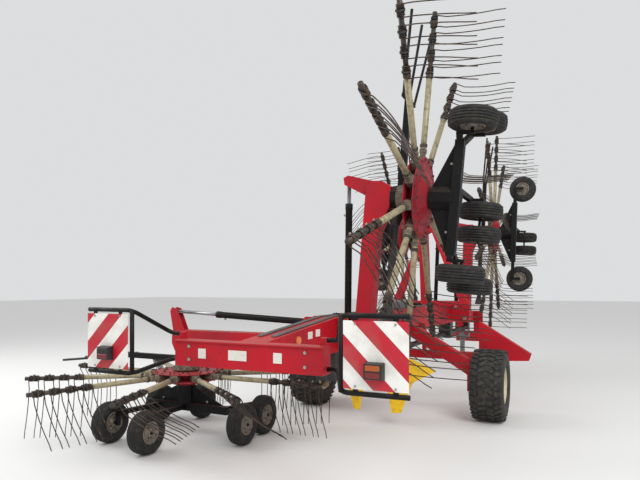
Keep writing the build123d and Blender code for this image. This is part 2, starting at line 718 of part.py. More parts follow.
def undercarriage(unit):
    """Gearbox, column through the hub, gusset and cradle, and a leg to each wheel."""
    half = HUB_PLATE_GAP / 2 + HUB_PLATE
    under = -half - HUB_DOME_HEIGHT - SEAT_GAP
    box = stack(((half + 12, GEARBOX_RADIUS), (GEARBOX_TOP, GEARBOX_RADIUS * 0.8)), 8, Plane.XY)
    column = stack(((CRADLE_BOTTOM, COLUMN_RADIUS), (half + 13, COLUMN_RADIUS)), 8, Plane.XY)
    collar = stack(((CRADLE_TOP - 20, COLUMN_RADIUS + 45), (under, COLUMN_RADIUS + 45)), 8, Plane.XY)
    low, high = unit.cradle
    middle = (CRADLE_Y - CRADLE_WIDTH / 2, CRADLE_Y + CRADLE_WIDTH / 2)
    cradle = block((low, high), middle, (CRADLE_BOTTOM, CRADLE_TOP))
    tie = block((-70, 70), (CRADLE_Y, 40), (CRADLE_BOTTOM, CRADLE_TOP))
    bar = (-GUARD_BAR, GUARD_BAR)
    guard = block((GEARBOX_RADIUS * 0.7, GUARD_ARM), bar, (GUARD_UP - GUARD_BAR, GUARD_UP + GUARD_BAR))
    rail = (GUARD_UP - GUARD_ROD, GUARD_UP + GUARD_ROD)
    guard += block((GUARD_ARM - GUARD_BAR, GUARD_ARM), (-GUARD_SPAN, GUARD_SPAN), rail)
    for across in (-GUARD_SPAN, 0, GUARD_SPAN):
        start = (GUARD_ARM - GUARD_BAR, across * 0.92, GUARD_UP)
        guard += rod_between(start, (GUARD_REACH, across * GUARD_FLARE, GUARD_TIP_UP), GUARD_ROD, 4)
    gusset = plate_xz(
        [
            (max(low, -GUSSET_HALF), CRADLE_TOP),
            (min(high, GUSSET_HALF), CRADLE_TOP),
            (90, under - 12),
            (-90, under - 12),
        ],
        CRADLE_Y + CRADLE_WIDTH / 2 - GUSSET_THICK / 2,
        GUSSET_THICK,
    )
    web = block((-70, 70), (CRADLE_Y + CRADLE_WIDTH / 2 - GUSSET_THICK, 0), (CRADLE_BOTTOM, under - 30))
    solid = box + column + collar + cradle + tie + gusset + web + guard
    for row in unit.wheels:
        solid += wheel_leg(row)
    return solid


def barrel(unit):
    """Fold cylinder's barrel, from its anchor pin outwards along X."""
    tube = stack(((0, BARREL_RADIUS), (BARREL_LENGTH, BARREL_RADIUS)), 12)
    bore = stack(((60, ROD_RADIUS + ROD_GAP), (BARREL_LENGTH + 1, ROD_RADIUS + ROD_GAP)), 8)
    eye = stack(((-BARREL_RADIUS, BARREL_RADIUS), (BARREL_RADIUS, BARREL_RADIUS)), 12, Plane.XZ)
    hole = ANCHOR_PIN_RADIUS + PIN_CLEARANCE
    pin_hole = stack(((-2 * BARREL_RADIUS, hole), (2 * BARREL_RADIUS, hole)), PIN_SIDES, Plane.XZ)
    return tube + eye - bore - pin_hole


def cylinder_rod(unit):
    """Fold cylinder's rod with the eye between the arm's ears."""
    length = unit.cylinder_line(unit.fold)[0]
    rod = stack(((length - ROD_LENGTH, ROD_RADIUS), (length, ROD_RADIUS)), 8)
    half = ROD_EYE_WIDTH / 2
    eye = Pos(length, 0, 0) * stack(((-half, ROD_EYE_RADIUS), (half, ROD_EYE_RADIUS)), 12, Plane.XZ)
    return rod + eye


# Front end


def hitch_head():
    """Headstock that swivels on the king pin, with the cross bar and its two link pins."""
    y = AXLE_Y + HITCH_AHEAD
    swivel_y = y - HEAD_SWIVEL_BEHIND
    half = HEAD_WIDTH / 2
    lug = HEAD_LUG_WIDTH / 2
    pane = HEAD_WINDOW_WIDTH / 2
    king = rod_between((0, swivel_y, BEAM_NOSE_BOTTOM), (0, swivel_y, BEAM_NOSE_TOP), KING_RADIUS, 12)
    low_lug = block((-lug, lug), (swivel_y - 55, y - 60), (BEAM_NOSE_BOTTOM + 10, BEAM_NOSE_BOTTOM + 55))
    high_lug = block((-lug, lug), (swivel_y - 55, y - 60), (BEAM_NOSE_TOP - 55, BEAM_NOSE_TOP - 10))
    plate = block((-half, half), (y - 60, y - 60 + HEAD_PLATE), (HEAD_BOTTOM, BEAM_NOSE_TOP))
    window = block((-pane, pane), (y - 100, y), (HEAD_BOTTOM + HEAD_WINDOW_UP, BEAM_NOSE_BOTTOM - 10))
    bar = rod_between((-LINK_SPREAD / 2, y, LINK_Z), (LINK_SPREAD / 2, y, LINK_Z), LINK_BAR_RADIUS)
    pins = Pos(0, y, LINK_Z) * Rot(0, 90, 0) * Cylinder(LINK_PIN_RADIUS, LINK_SPREAD + 2 * LINK_PIN_LENGTH)
    head = king + low_lug + high_lug + (plate - window) + bar + pins
    for side in (-1, 1):
        across = (side * HEAD_CHEEK_OUT - HEAD_CHEEK / 2, side * HEAD_CHEEK_OUT + HEAD_CHEEK / 2)
        head += block(across, (y - 60, y + 20), (LINK_Z - 60, LINK_Z + 90))
    return head


def parking_stand():
    """Sliding leg with its foot, in a sleeve that two cheeks hang from the main beam."""
    stand = block((-FOOT_WIDTH / 2, FOOT_WIDTH / 2), (-FOOT_LENGTH / 2, FOOT_LENGTH / 2), (0, FOOT_PLATE))
    leg = (-STAND_TUBE / 2, STAND_TUBE / 2)
    stand += block(leg, leg, (FOOT_PLATE, STAND_SLEEVE_BOTTOM + 40))
    sleeve = (-STAND_SLEEVE / 2, STAND_SLEEVE / 2)
    stand += block(sleeve, sleeve, (STAND_SLEEVE_BOTTOM, STAND_SLEEVE_TOP))
    for side in (-1, 1):
        outside = side * (BEAM_WIDTH / 2 + CHEEK_THICK)
        floor = (STAND_SLEEVE_BOTTOM + 60, STAND_SLEEVE_BOTTOM + 100)
        stand += block(sorted((side * STAND_SLEEVE / 2, outside)), CHEEK_DEPTH, floor)
        stand += block(sorted((side * BEAM_WIDTH / 2, outside)), CHEEK_DEPTH, (floor[0], BEAM_BOTTOM - 10))
    return stand


def drive_line():
    """Guarded shaft under the main beam, a gearbox at each pair of rotors, and the input stub."""
    rear = AXLE_Y - REAR_HUB_BEHIND
    front = AXLE_Y + FRONT_HUB_AHEAD
    nose = AXLE_Y + BEAM_NOSE_AHEAD - 150
    shaft = rod_between((0, rear, SHAFT_Z), (0, nose, SHAFT_Z), SHAFT_RADIUS)
    line = shaft
    half = DRIVE_BOX / 2
    for y in (rear, front):
        line += block((-half, half), (y - half, y + half), (SHAFT_Z - 70, BEAM_BOTTOM))
    line += block((-60, 60), (nose - 40, nose), (SHAFT_Z - 60, beam_bottom(BEAM_NOSE_AHEAD - 150)))
    stub = Pos(0, nose + PTO_LENGTH / 2, SHAFT_Z) * (Rot(90, 0, 0) * Cylinder(PTO_RADIUS, PTO_LENGTH))
    return line + stub


def yellow_guard():
    """Bent sheet guard hung under the beam behind the axle: two wings and two hanging lobes."""
    y = AXLE_Y - GUARD_BEHIND
    lobe_in, lobe_out = [(x, GUARD_LOBE_BOTTOM) for x in GUARD_LOBE]
    wing = (GUARD_HALF, GUARD_WING_Z)
    right = [(0, GUARD_TOP), (GUARD_TOP_HALF, GUARD_TOP), wing, GUARD_WAIST, lobe_out, lobe_in, GUARD_CROTCH]
    outline = right + [(-x, z) for x, z in reversed(right[1:])]
    blank = plate_xz(outline, y, GUARD_BOW * 3)
    flat = GUARD_FLAT_HALF
    bend = [(-GUARD_HALF - 50, y + GUARD_BOW), (-flat, y), (flat, y), (GUARD_HALF + 50, y + GUARD_BOW)]
    strip = bend + [(x, front + GUARD_SHEET) for x, front in reversed(bend)]
    shell = extrude(Polygon(*strip, align=None), 2000, dir=(0, 0, 1))
    hanger = block((-100, 100), (y - 20, y + GUARD_SHEET), (SHAFT_Z - 100, BEAM_BOTTOM))
    slot = block((-60, 60), (y - 60, y + 60), (SHAFT_Z - 60, SHAFT_Z + 60))
    return (blank & shell) + hanger - slot


def main():
    os.makedirs("parts", exist_ok=True)
    nodes = {
        "main_beam": main_beam(),
        "rear_cross_beam": rear_cross_beam(),
        "board_frames": board_frames(),
        "warning_boards": warning_boards(),
        "rear_lamps": rear_lamps(),
        "axle_frame": axle_frame(),
        "side_outriggers": side_outriggers(),
        "mast": mast(),
        "rear_arm_brackets": arm_brackets(-REAR_HUB_BEHIND),
        "front_arm_brackets": arm_brackets(FRONT_HUB_AHEAD),
        "hitch_head": hitch_head(),
        "parking_stand": parking_stand(),
        "drive_line": drive_line(),
        "yellow_guard": yellow_guard(),
    }
    for word, side in (("left", -1), ("right", 1)):
        nodes[f"transport_tyre_{word}"] = transport_tyre(side)
        nodes[f"transport_rim_{word}"] = transport_rim(side)
    for row in UNITS:
        unit = Unit(row)
        nodes[f"{unit.name}_arm"] = unit.place(arm(unit))
        nodes[f"{unit.name}_undercarriage"] = unit.place(undercarriage(unit))
        nodes[f"{unit.name}_rotor_hub"] = unit.place(rotor_hub(unit))
        nodes[f"{unit.name}_tine_arms"] = unit.place(rotor_tines(unit))
        nodes[f"{unit.name}_barrel"] = unit.place_cylinder(barrel(unit))
        nodes[f"{unit.name}_rod"] = unit.place_cylinder(cylinder_rod(unit))
        for wheel in unit.wheels:
            nodes[f"{unit.name}_wheel_{wheel[0]}"] = unit.place(small_wheel(wheel))
    for name, shape in nodes.items():
        shape.label = name
        export_step(shape, f"parts/{name}.step")
    print(len(nodes), "nodes")


if __name__ == "__main__":
    main()
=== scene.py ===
"""Looks of a towed four-rotor hay rake, parked with three rotors folded up and one lowered."""

import json
import logging
from dataclasses import dataclass, field
from enum import Enum
from itertools import product
from math import cos, pi, radians, sin, tau
from typing import Callable, Iterable

import bmesh
import bpy
from mathutils import Matrix, Vector

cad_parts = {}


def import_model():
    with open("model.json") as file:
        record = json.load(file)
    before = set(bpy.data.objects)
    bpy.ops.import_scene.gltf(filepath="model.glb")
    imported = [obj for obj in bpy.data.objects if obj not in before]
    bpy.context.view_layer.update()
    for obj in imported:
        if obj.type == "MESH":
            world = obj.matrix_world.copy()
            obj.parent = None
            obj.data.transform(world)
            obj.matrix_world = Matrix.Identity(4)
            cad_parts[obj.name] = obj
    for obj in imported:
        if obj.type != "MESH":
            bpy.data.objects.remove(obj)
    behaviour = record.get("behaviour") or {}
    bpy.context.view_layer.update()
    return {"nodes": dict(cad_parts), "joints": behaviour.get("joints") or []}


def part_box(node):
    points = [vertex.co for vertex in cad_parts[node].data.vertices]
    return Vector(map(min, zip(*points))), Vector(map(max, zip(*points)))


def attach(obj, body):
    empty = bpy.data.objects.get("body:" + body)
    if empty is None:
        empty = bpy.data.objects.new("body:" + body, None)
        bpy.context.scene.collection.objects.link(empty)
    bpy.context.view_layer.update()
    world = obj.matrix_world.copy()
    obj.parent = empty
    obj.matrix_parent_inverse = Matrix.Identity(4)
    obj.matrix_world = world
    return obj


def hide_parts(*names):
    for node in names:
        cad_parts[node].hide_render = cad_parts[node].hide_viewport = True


LOG = logging.getLogger("rake")

Tree = bpy.types.NodeTree
Socket = bpy.types.NodeSocket
Node = bpy.types.Node
Vertices = list[bmesh.types.BMVert]
Pair = tuple[float, float]
Triple = tuple[float, float, float]


def linear(colour: str) -> tuple[float, float, float, float]:
    """Turns an sRGB hex colour into linear light.

    Args:
        colour: six hex digits after a hash sign.

    Returns:
        Red, green, blue and an alpha of 1.
    """
    parts = [int(colour[at : at + 2], 16) / 255 for at in (1, 3, 5)]
    light = [c / 12.92 if c <= 0.04045 else ((c + 0.055) / 1.055) ** 2.4 for c in parts]
    return (light[0], light[1], light[2], 1.0)


def per_metre(millimetres: float) -> float:
    """Pattern scale that gives one cell of a real size in millimetres."""
    return 1000.0 / millimetres


def add_node(
    tree: Tree, kind: str, settings: dict | None = None, **links: object
) -> Node:
    """Adds one shader node.

    Args:
        tree: the material's node tree.
        kind: the node's type name.
        settings: attributes of the node itself.
        **links: input names, with _ for a space, each a socket to link from or a plain value.

    Returns:
        The new node.
    """
    node = tree.nodes.new(kind)
    for name, value in (settings or {}).items():
        setattr(node, name, value)
    for name, value in links.items():
        socket = node.inputs[int(name[1:])] if name[1:].isdigit() else node.inputs[name.replace("_", " ")]
        if isinstance(value, Socket):
            tree.links.new(value, socket)
        else:
            socket.default_value = value
    return node


@dataclass(frozen=True)
class Finish:
    """A finish that makes its own Blender material."""

    name: str

    def surface(self, tree: Tree, place: Socket) -> Node:
        """Builds the shader that this finish is made of.

        Args:
            tree: the material's node tree.
            place: Object coordinates.

        Returns:
            The shader node.
        """
        raise NotImplementedError

    def make(self) -> bpy.types.Material:
        """Makes the material, or gives back the one that was made before."""
        made = bpy.data.materials.get(self.name)
        if made:
            return made
        material = bpy.data.materials.new(self.name)
        material.use_nodes = True
        tree = material.node_tree
        tree.nodes.clear()
        place = add_node(tree, "ShaderNodeTexCoord").outputs["Object"]
        shader = self.surface(tree, place)
        add_node(tree, "ShaderNodeOutputMaterial", Surface=shader.outputs[0])
        return material


def speckle(
    tree: Tree, place: Socket, size_mm: float, low: float, high: float,
    detail: float = 4,
) -> Socket:
    """Cloudy mask between 0 and 1.

    Args:
        tree: the material's node tree.
        place: coordinates in metres.
        size_mm: size of one cloud.
        low: noise value that becomes 0.
        high: noise value that becomes 1.
        detail: octaves of the noise.

    Returns:
        The mask's socket.
    """
    noise = add_node(tree, "ShaderNodeTexNoise", Vector=place, Scale=per_metre(size_mm), Detail=detail)
    spread = add_node(tree, "ShaderNodeMapRange", Value=noise.outputs["Fac"], From_Min=low, From_Max=high)
    return spread.outputs["Result"]


def mixed(
    tree: Tree, mask: Socket, first: object, second: object
) -> Socket:
    """Mixes two colours by a mask.

    Args:
        tree: the material's node tree.
        mask: 0 gives the first colour and 1 the second.
        first: a socket, or a linear colour.
        second: a socket, or a linear colour.

    Returns:
        The mixed colour's socket.
    """
    mix = add_node(tree, "ShaderNodeMix", {"data_type": "RGBA"}, _0=mask, _6=first, _7=second)
    return mix.outputs[2]


def maths(tree: Tree, operation: str, *values: object) -> Socket:
    """Works out one sum.

    Args:
        tree: the material's node tree.
        operation: operation of the math node.
        *values: its inputs in order, each a socket or a number.

    Returns:
        The result's socket.
    """
    inputs = {f"_{at}": value for at, value in enumerate(values)}
    return add_node(tree, "ShaderNodeMath", {"operation": operation}, **inputs).outputs[0]


def grained(
    tree: Tree, place: Socket, size_mm: float, detail: float, strength: float,
    depth: float = 0.001,
) -> Socket:
    """Bends the normal by a fine grain.

    Args:
        tree: the material's node tree.
        place: coordinates in metres.
        size_mm: size of one grain.
        detail: octaves of the noise.
        strength: share of the bump that shows.
        depth: height of the bumps in metres.

    Returns:
        The normal's socket.
    """
    noise = add_node(tree, "ShaderNodeTexNoise", Vector=place, Scale=per_metre(size_mm), Detail=detail)
    bump = add_node(tree, "ShaderNodeBump", Height=noise.outputs["Fac"], Strength=strength, Distance=depth)
    return bump.outputs["Normal"]


@dataclass(frozen=True)
class SprayedPaint(Finish):
    """Two-pack enamel sprayed on welded steel: an even coat that chalks, gathers dust and chips to rust."""

    colour: str = "#B90019"
    faded: str = "#9A0E20"
    dust: str = "#83725E"
    chip: str = "#5A3A28"
    roughness: float = 0.44
    chip_low: float = 0.70
    dust_share: float = 0.38
    ior: float = 1.4

    def surface(self, tree: Tree, place: Socket) -> Node:
        """Paint with fading in broad clouds, dust on what faces up and small chips.

        Args:
            tree: the material's node tree.
            place: Object coordinates.

        Returns:
            The shader node.
        """
        fade = speckle(tree, place, 400, 0.35, 0.7)
        coat = mixed(tree, fade, linear(self.colour), linear(self.faded))
        normal = add_node(tree, "ShaderNodeNewGeometry").outputs["Normal"]
        up = add_node(tree, "ShaderNodeSeparateXYZ", Vector=normal).outputs["Z"]
        lying = add_node(
            tree, "ShaderNodeMapRange", Value=up, From_Min=0.2, From_Max=1.0, To_Max=self.dust_share
        )
        cloud = speckle(tree, place, 60, 0.35, 0.65)
        share = maths(tree, "MULTIPLY", lying.outputs["Result"], cloud)
        dusty = mixed(tree, share, coat, linear(self.dust))
        chips = speckle(tree, place, 18, self.chip_low, self.chip_low + 0.03, 6)
        worn = mixed(tree, chips, dusty, linear(self.chip))
        rough = add_node(
            tree, "ShaderNodeMapRange", Value=cloud, To_Min=self.roughness, To_Max=self.roughness + 0.22
        )
        # Orange peel of a sprayed coat, drawn at 9 mm so that it shows
        peel = grained(tree, place, 9, 2.0, 0.08, 0.002)
        return add_node(
            tree, "ShaderNodeBsdfPrincipled", Base_Color=worn, Roughness=rough.outputs["Result"], Normal=peel,
            IOR=self.ior,
        )


@dataclass(frozen=True)
class WarningSheet(SprayedPaint):
    """Reflective film on sheet steel: red and white stripes that slope down to each outer side."""

    stripe: str = "#B8142A"
    stripe_mm: float = 100.0
    first_edge: float = 0.12
    grime_share: float = 0.35

    def surface(self, tree: Tree, place: Socket) -> Node:
        """White film with slanting red stripes, mirrored about the middle of the machine.

        Args:
            tree: the material's node tree.
            place: Object coordinates.

        Returns:
            The shader node.
        """
        split = add_node(tree, "ShaderNodeSeparateXYZ", Vector=place)
        slant = maths(tree, "ADD", maths(tree, "ABSOLUTE", split.outputs["X"]), split.outputs["Z"])
        # A red and a white stripe, measured square to them, fill this much of X
        period = 2 * self.stripe_mm / 1000 * 2**0.5
        part = maths(tree, "FRACT", maths(tree, "MULTIPLY_ADD", slant, 1 / period, self.first_edge))
        red = maths(tree, "GREATER_THAN", part, 0.5)
        film = mixed(tree, red, linear(self.colour), linear(self.stripe))
        grime = maths(tree, "MULTIPLY", speckle(tree, place, 120, 0.45, 0.8), self.grime_share)
        dirty = mixed(tree, grime, film, linear(self.dust))
        return add_node(tree, "ShaderNodeBsdfPrincipled", Base_Color=dirty, Roughness=self.roughness)


@dataclass(frozen=True)
class MouldedRubber(Finish):
    """Vulcanised tyre rubber: dull black, greyed by age, with dry mud in the grooves."""

    colour: str = "#1D1D1E"
    aged: str = "#34332F"
    mud: str = "#6B5D48"
    mud_share: float = 0.28
    roughness: float = 0.78

    def surface(self, tree: Tree, place: Socket) -> Node:
        """Black rubber with grey clouds and patches of mud.

        Args:
            tree: the material's node tree.
            place: Object coordinates.

        Returns:
            The shader node.
        """
        age = speckle(tree, place, 90, 0.35, 0.7)
        skin = mixed(tree, age, linear(self.colour), linear(self.aged))
        patch = maths(tree, "MULTIPLY", speckle(tree, place, 45, 0.5, 0.68, 6), self.mud_share)
        muddy = mixed(tree, patch, skin, linear(self.mud))
        grit = grained(tree, place, 6, 4.0, 0.25, 0.002)
        return add_node(
            tree, "ShaderNodeBsdfPrincipled", Base_Color=muddy, Roughness=self.roughness, Normal=grit
        )


@dataclass(frozen=True)
class WeatheredSteel(Finish):
    """Mill steel that has stood outdoors: dull metal under patches of rust and old primer."""

    colour: str = "#8E8272"
    rust: str = "#5E4433"
    roughness: float = 0.5
    metal: float = 0.55
    rust_low: float = 0.45

    def surface(self, tree: Tree, place: Socket) -> Node:
        """Dull steel with brown clouds and a rough skin.

        Args:
            tree: the material's node tree.
            place: Object coordinates.

        Returns:
            The shader node.
        """
        patch = speckle(tree, place, 35, self.rust_low, self.rust_low + 0.2, 8)
        skin = mixed(tree, patch, linear(self.colour), linear(self.rust))
        pits = grained(tree, place, 5, 5.0, 0.2)
        return add_node(
            tree, "ShaderNodeBsdfPrincipled", Base_Color=skin, Roughness=self.roughness, Metallic=self.metal,
            Normal=pits,
        )


@dataclass(frozen=True)
class MouldedPlastic(Finish):
    """Moulded polyethylene or a lens: even colour with faint scuffs and dust."""

    colour: str = "#F2C300"
    scuff: str = "#C79B10"
    roughness: float = 0.45
    coat: float = 0.0

    def surface(self, tree: Tree, place: Socket) -> Node:
        """Plastic with scuffed clouds and a fine moulded grain.

        Args:
            tree: the material's node tree.
            place: Object coordinates.

        Returns:
            The shader node.
        """
        scuffs = speckle(tree, place, 70, 0.5, 0.75, 6)
        skin = mixed(tree, scuffs, linear(self.colour), linear(self.scuff))
        grain = grained(tree, place, 4, 2.0, 0.06)
        return add_node(
            tree, "ShaderNodeBsdfPrincipled", Base_Color=skin, Roughness=self.roughness,
            Coat_Weight=self.coat, Normal=grain,
        )


@dataclass(frozen=True)
class PaleFloor(Finish):
    """Studio floor that fades into the backdrop."""

    colour: str = "#E4E4E2"
    roughness: float = 0.9

    def surface(self, tree: Tree, place: Socket) -> Node:
        """Plain matt floor."""
        return add_node(
            tree, "ShaderNodeBsdfPrincipled", Base_Color=linear(self.colour), Roughness=self.roughness
        )


RED = SprayedPaint("sprayed_red_enamel")
HUB_RED = SprayedPaint("hub_red_enamel", colour="#A8182A", faded="#7E1F28", chip_low=0.62, dust_share=0.3)
BLACK = SprayedPaint(
    "sprayed_black_enamel", colour="#0C0C0E", faded="#151413", chip_low=0.72, dust_share=0.16, ior=1.3
)
GREY = SprayedPaint("sprayed_grey_enamel", colour="#6E7072", faded="#5D5C58", chip_low=0.66)
CREAM = SprayedPaint("sprayed_cream_enamel", colour="#D9CFB4", faded="#BDB094", chip_low=0.66, dust_share=0.5)
BOARD = WarningSheet("striped_warning_sheet", colour="#E9E7E2", roughness=0.4)
PLATE = SprayedPaint("blank_white_plate", colour="#DDDAD2", faded="#C9C4B8", roughness=0.45)
RUBBER = MouldedRubber("transport_tyre_rubber")
SMALL_RUBBER = MouldedRubber("small_tyre_rubber", colour="#151516", aged="#232221", mud_share=0.15)
RIM_STEEL = WeatheredSteel("small_rim_steel", colour="#7D786D", rust="#5E4B3B", metal=0.2, roughness=0.55)
ARM_TUBE = WeatheredSteel("tan_inner_arm_tube", colour="#9E9477", rust="#74624B", metal=0.25, rust_low=0.5)
CARRIER = WeatheredSteel("dark_tine_carrier", colour="#3A3733", rust="#54402F", metal=0.3, rust_low=0.48)
SPRING = WeatheredSteel("oiled_spring_wire", colour="#33302D", rust="#5A4334", metal=0.6, roughness=0.42)
CASTING = WeatheredSteel("cast_bearing_housing", colour="#6F675C", rust="#5B4636", metal=0.35, roughness=0.6)
BOLT = WeatheredSteel(
    "plated_bolt", colour="#A7A59E", rust="#7A6A52", metal=0.8, roughness=0.38, rust_low=0.6
)
HUB_BOLT = WeatheredSteel("rusty_hub_bolt", colour="#5B4C45", rust="#44302A", metal=0.4, roughness=0.6)
CHROME = WeatheredSteel(
    "chromed_rod", colour="#96989B", rust="#7B7A77", metal=1.0, roughness=0.22, rust_low=0.62
)
YELLOW = MouldedPlastic("yellow_moulded_guard")
SHAFT_GUARD = MouldedPlastic("black_shaft_guard", colour="#1E1E20", scuff="#3A3936", roughness=0.5)
AMBER = MouldedPlastic("amber_lens", colour="#D8690C", scuff="#B8540A", roughness=0.12, coat=0.5)
RED_LENS = MouldedPlastic("red_lens", colour="#701210", scuff="#58100E", roughness=0.2, coat=0.3)
DARK_AMBER = MouldedPlastic("dulled_amber_lens", colour="#A34C10", scuff="#7C3A10", roughness=0.2, coat=0.3)
DARK_HOUSING = MouldedPlastic("lamp_housing", colour="#18181A", scuff="#2C2B29", roughness=0.4)
FLOOR = PaleFloor("pale_floor")

COIL_STEPS = 10
# Edges whose ends differ in height by less than this, in metres, count as level
LEVEL = 1e-6
# An axis with more of Z than this counts as upright
UPRIGHT = 0.9
# Turns that lay the Z axis of a disc or block along X, and along Y
TO_X = Matrix.Rotation(pi / 2, 4, "Y")
TO_Y = Matrix.Rotation(pi / 2, 4, "X")


@dataclass
class MeshPiece:
    """A mesh under construction in a bmesh, with one material index for each finish."""

    name: str
    finishes: tuple[Finish, ...]
    bm: bmesh.types.BMesh = field(default_factory=bmesh.new)

    def turn_and_move(self, verts: Iterable[bmesh.types.BMVert], matrix: Matrix) -> None:
        """Applies a matrix to some vertices."""
        bmesh.ops.transform(self.bm, matrix=matrix, verts=list(verts))

    def put(self, verts: Vertices, x: float, y: float, z: float, turn: Matrix | None = None) -> None:
        """Moves some vertices to a place, after a turn if one is given.

        Args:
            verts: the vertices.
            x: distance along X.
            y: distance along Y.
            z: distance along Z.
            turn: turn about the origin.
        """
        place = Matrix.Translation((x, y, z))
        self.turn_and_move(verts, place if turn is None else place @ turn)

    def chamfer(self, edges: Iterable[bmesh.types.BMEdge], width: float) -> None:
        """Cuts some edges off by a narrow face."""
        bmesh.ops.bevel(
            self.bm, geom=list(set(edges)), offset=width, segments=1, profile=0.5, affect="EDGES", material=-1
        )

    def paint(self, faces: Iterable[bmesh.types.BMFace], finish: Finish, smooth: bool = False) -> None:
        """Gives faces one of the piece's finishes.

        Args:
            faces: the faces.
            finish: their finish.
            smooth: whether they are shaded smooth.
        """
        index = self.finishes.index(finish)
        for face in faces:
            face.material_index = index
            face.smooth = smooth

    def added(self, build: Callable[[], None], finish: Finish, smooth: bool = False) -> Vertices:
        """Runs one building step and paints what it adds.

        Args:
            build: the step.
            finish: finish of the new faces.
            smooth: whether they are shaded smooth.

        Returns:
            The new vertices.
        """
        verts = set(self.bm.verts)
        faces = set(self.bm.faces)
        build()
        self.paint([f for f in self.bm.faces if f not in faces], finish, smooth)
        return [v for v in self.bm.verts if v not in verts]

    def ring(self, profile: list[Pair], steps: int, finish: Finish) -> Vertices:
        """Spins a closed (along X, radius) profile about X.

        Args:
            profile: corners of the section, in order.
            steps: segments in the turn.
            finish: finish of its faces.

        Returns:
            The new vertices.
        """

        def build() -> None:
            """Joins the section's corners and spins them."""
            corners = [self.bm.verts.new((x, 0.0, r)) for x, r in profile]
            edges = [self.bm.edges.new((a, b)) for a, b in zip(corners, corners[1:] + corners[:1])]
            bmesh.ops.spin(
                self.bm, geom=corners + edges, cent=(0, 0, 0), axis=(1, 0, 0), angle=tau, steps=steps,
                use_merge=True,
            )

        return self.added(build, finish, smooth=True)

    def disc(
        self, radius: float, depth: float, sides: int, finish: Finish, top: float | None = None,
        bevel: float = 0.0,
    ) -> Vertices:
        """Adds a many-sided prism or cone frustum along Z, centred on the origin.

        Args:
            radius: radius at its foot.
            depth: height.
            sides: number of sides.
            finish: finish of its faces.
            top: radius at its top, the same as at the foot if not given.
            bevel: width of the bevel on its edges.

        Returns:
            The new vertices.
        """

        def build() -> None:
            """Makes the cone and takes the edges off its two rims."""
            made = bmesh.ops.create_cone(
                self.bm, cap_ends=True, segments=sides, radius1=radius,
                radius2=radius if top is None else top, depth=depth,
            )
            if bevel:
                edges = [e for v in made["verts"] for e in v.link_edges]
                rims = [e for e in edges if abs(e.verts[0].co.z - e.verts[1].co.z) < LEVEL]
                self.chamfer(rims, bevel)

        return self.added(build, finish)

    def block(self, size: Triple, finish: Finish, bevel: float = 0.0) -> Vertices:
        """Adds a box centred on the origin, with bevelled edges if asked.

        Args:
            size: length along X, Y and Z.
            finish: finish of its faces.
            bevel: width of the bevel.

        Returns:
            The new vertices.
        """

        def build() -> None:
            """Makes the box and takes its edges off."""
            made = bmesh.ops.create_cube(self.bm, size=1.0)
            bmesh.ops.scale(self.bm, vec=size, verts=made["verts"])
            if bevel:
                self.chamfer([e for v in made["verts"] for e in v.link_edges], bevel)

        return self.added(build, finish)

    def wire(
        self, points: list[Vector], radius: float, sides: int, finish: Finish, taper: float = 1.0
    ) -> Vertices:
        """Draws a round bar out along points by extruding its end face.

        Args:
            points: centre line.
            radius: radius of the bar.
            sides: sides of its section.
            finish: finish of its faces.
            taper: share of the radius left at the end.

        Returns:
            The new vertices.
        """

        def build() -> None:
            """Makes the end face and extrudes it from point to point."""
            aim = (points[1] - points[0]).to_track_quat("Z", "Y").to_matrix().to_4x4()
            made = bmesh.ops.create_circle(
                self.bm, cap_ends=True, segments=sides, radius=radius,
                matrix=Matrix.Translation(points[0]) @ aim,
            )
            end = made["verts"][0].link_faces[0]
            shrink = taper ** (1 / (len(points) - 1))
            for before, here, after in zip(points, points[1:], points[2:] + [points[-1] * 2 - points[-2]]):
                grown = bmesh.ops.extrude_face_region(self.bm, geom=[end])["geom"]
                end = next(g for g in grown if isinstance(g, bmesh.types.BMFace))
                bend = (here - before).rotation_difference(after - here)
                verts = list(end.verts)
                bmesh.ops.translate(self.bm, vec=here - before, verts=verts)
                turn = bend.to_matrix().to_4x4() @ Matrix.Scale(shrink, 4)
                bmesh.ops.transform(self.bm, matrix=turn, space=Matrix.Translation(-here), verts=verts)

        return self.added(build, finish, smooth=True)

    def coil(self, radius: float, wire: float, turns: int, pitch: float, finish: Finish) -> Vertices:
        """Winds a spring round the X axis, starting at the origin's plane.

        Args:
            radius: middle radius of the coil.
            wire: radius of the wire.
            turns: number of turns.
            pitch: advance along X for each turn.
            finish: finish of its faces.

        Returns:
            The new vertices.
        """
        steps = turns * COIL_STEPS

        def build() -> None:
            """Makes the wire's section and spins it along the axis."""
            place = Matrix.Translation((0, 0, -radius)) @ TO_Y
            made = bmesh.ops.create_circle(self.bm, segments=5, radius=wire, matrix=place)
            edges = list({e for v in made["verts"] for e in v.link_edges})
            bmesh.ops.spin(
                self.bm, geom=made["verts"] + edges, cent=(0, 0, 0), axis=(1, 0, 0), angle=tau * turns,
                steps=steps, dvec=(pitch / COIL_STEPS, 0, 0),
            )

        return self.added(build, finish, smooth=True)

    def repeat(self, template: bpy.types.Mesh, matrix: Matrix) -> None:
        """Adds a copy of a finished mesh, moved by a matrix.

        Args:
            template: the mesh.
            matrix: what moves it.
        """
        before = set(self.bm.verts)
        self.bm.from_mesh(template)
        self.turn_and_move([v for v in self.bm.verts if v not in before], matrix)

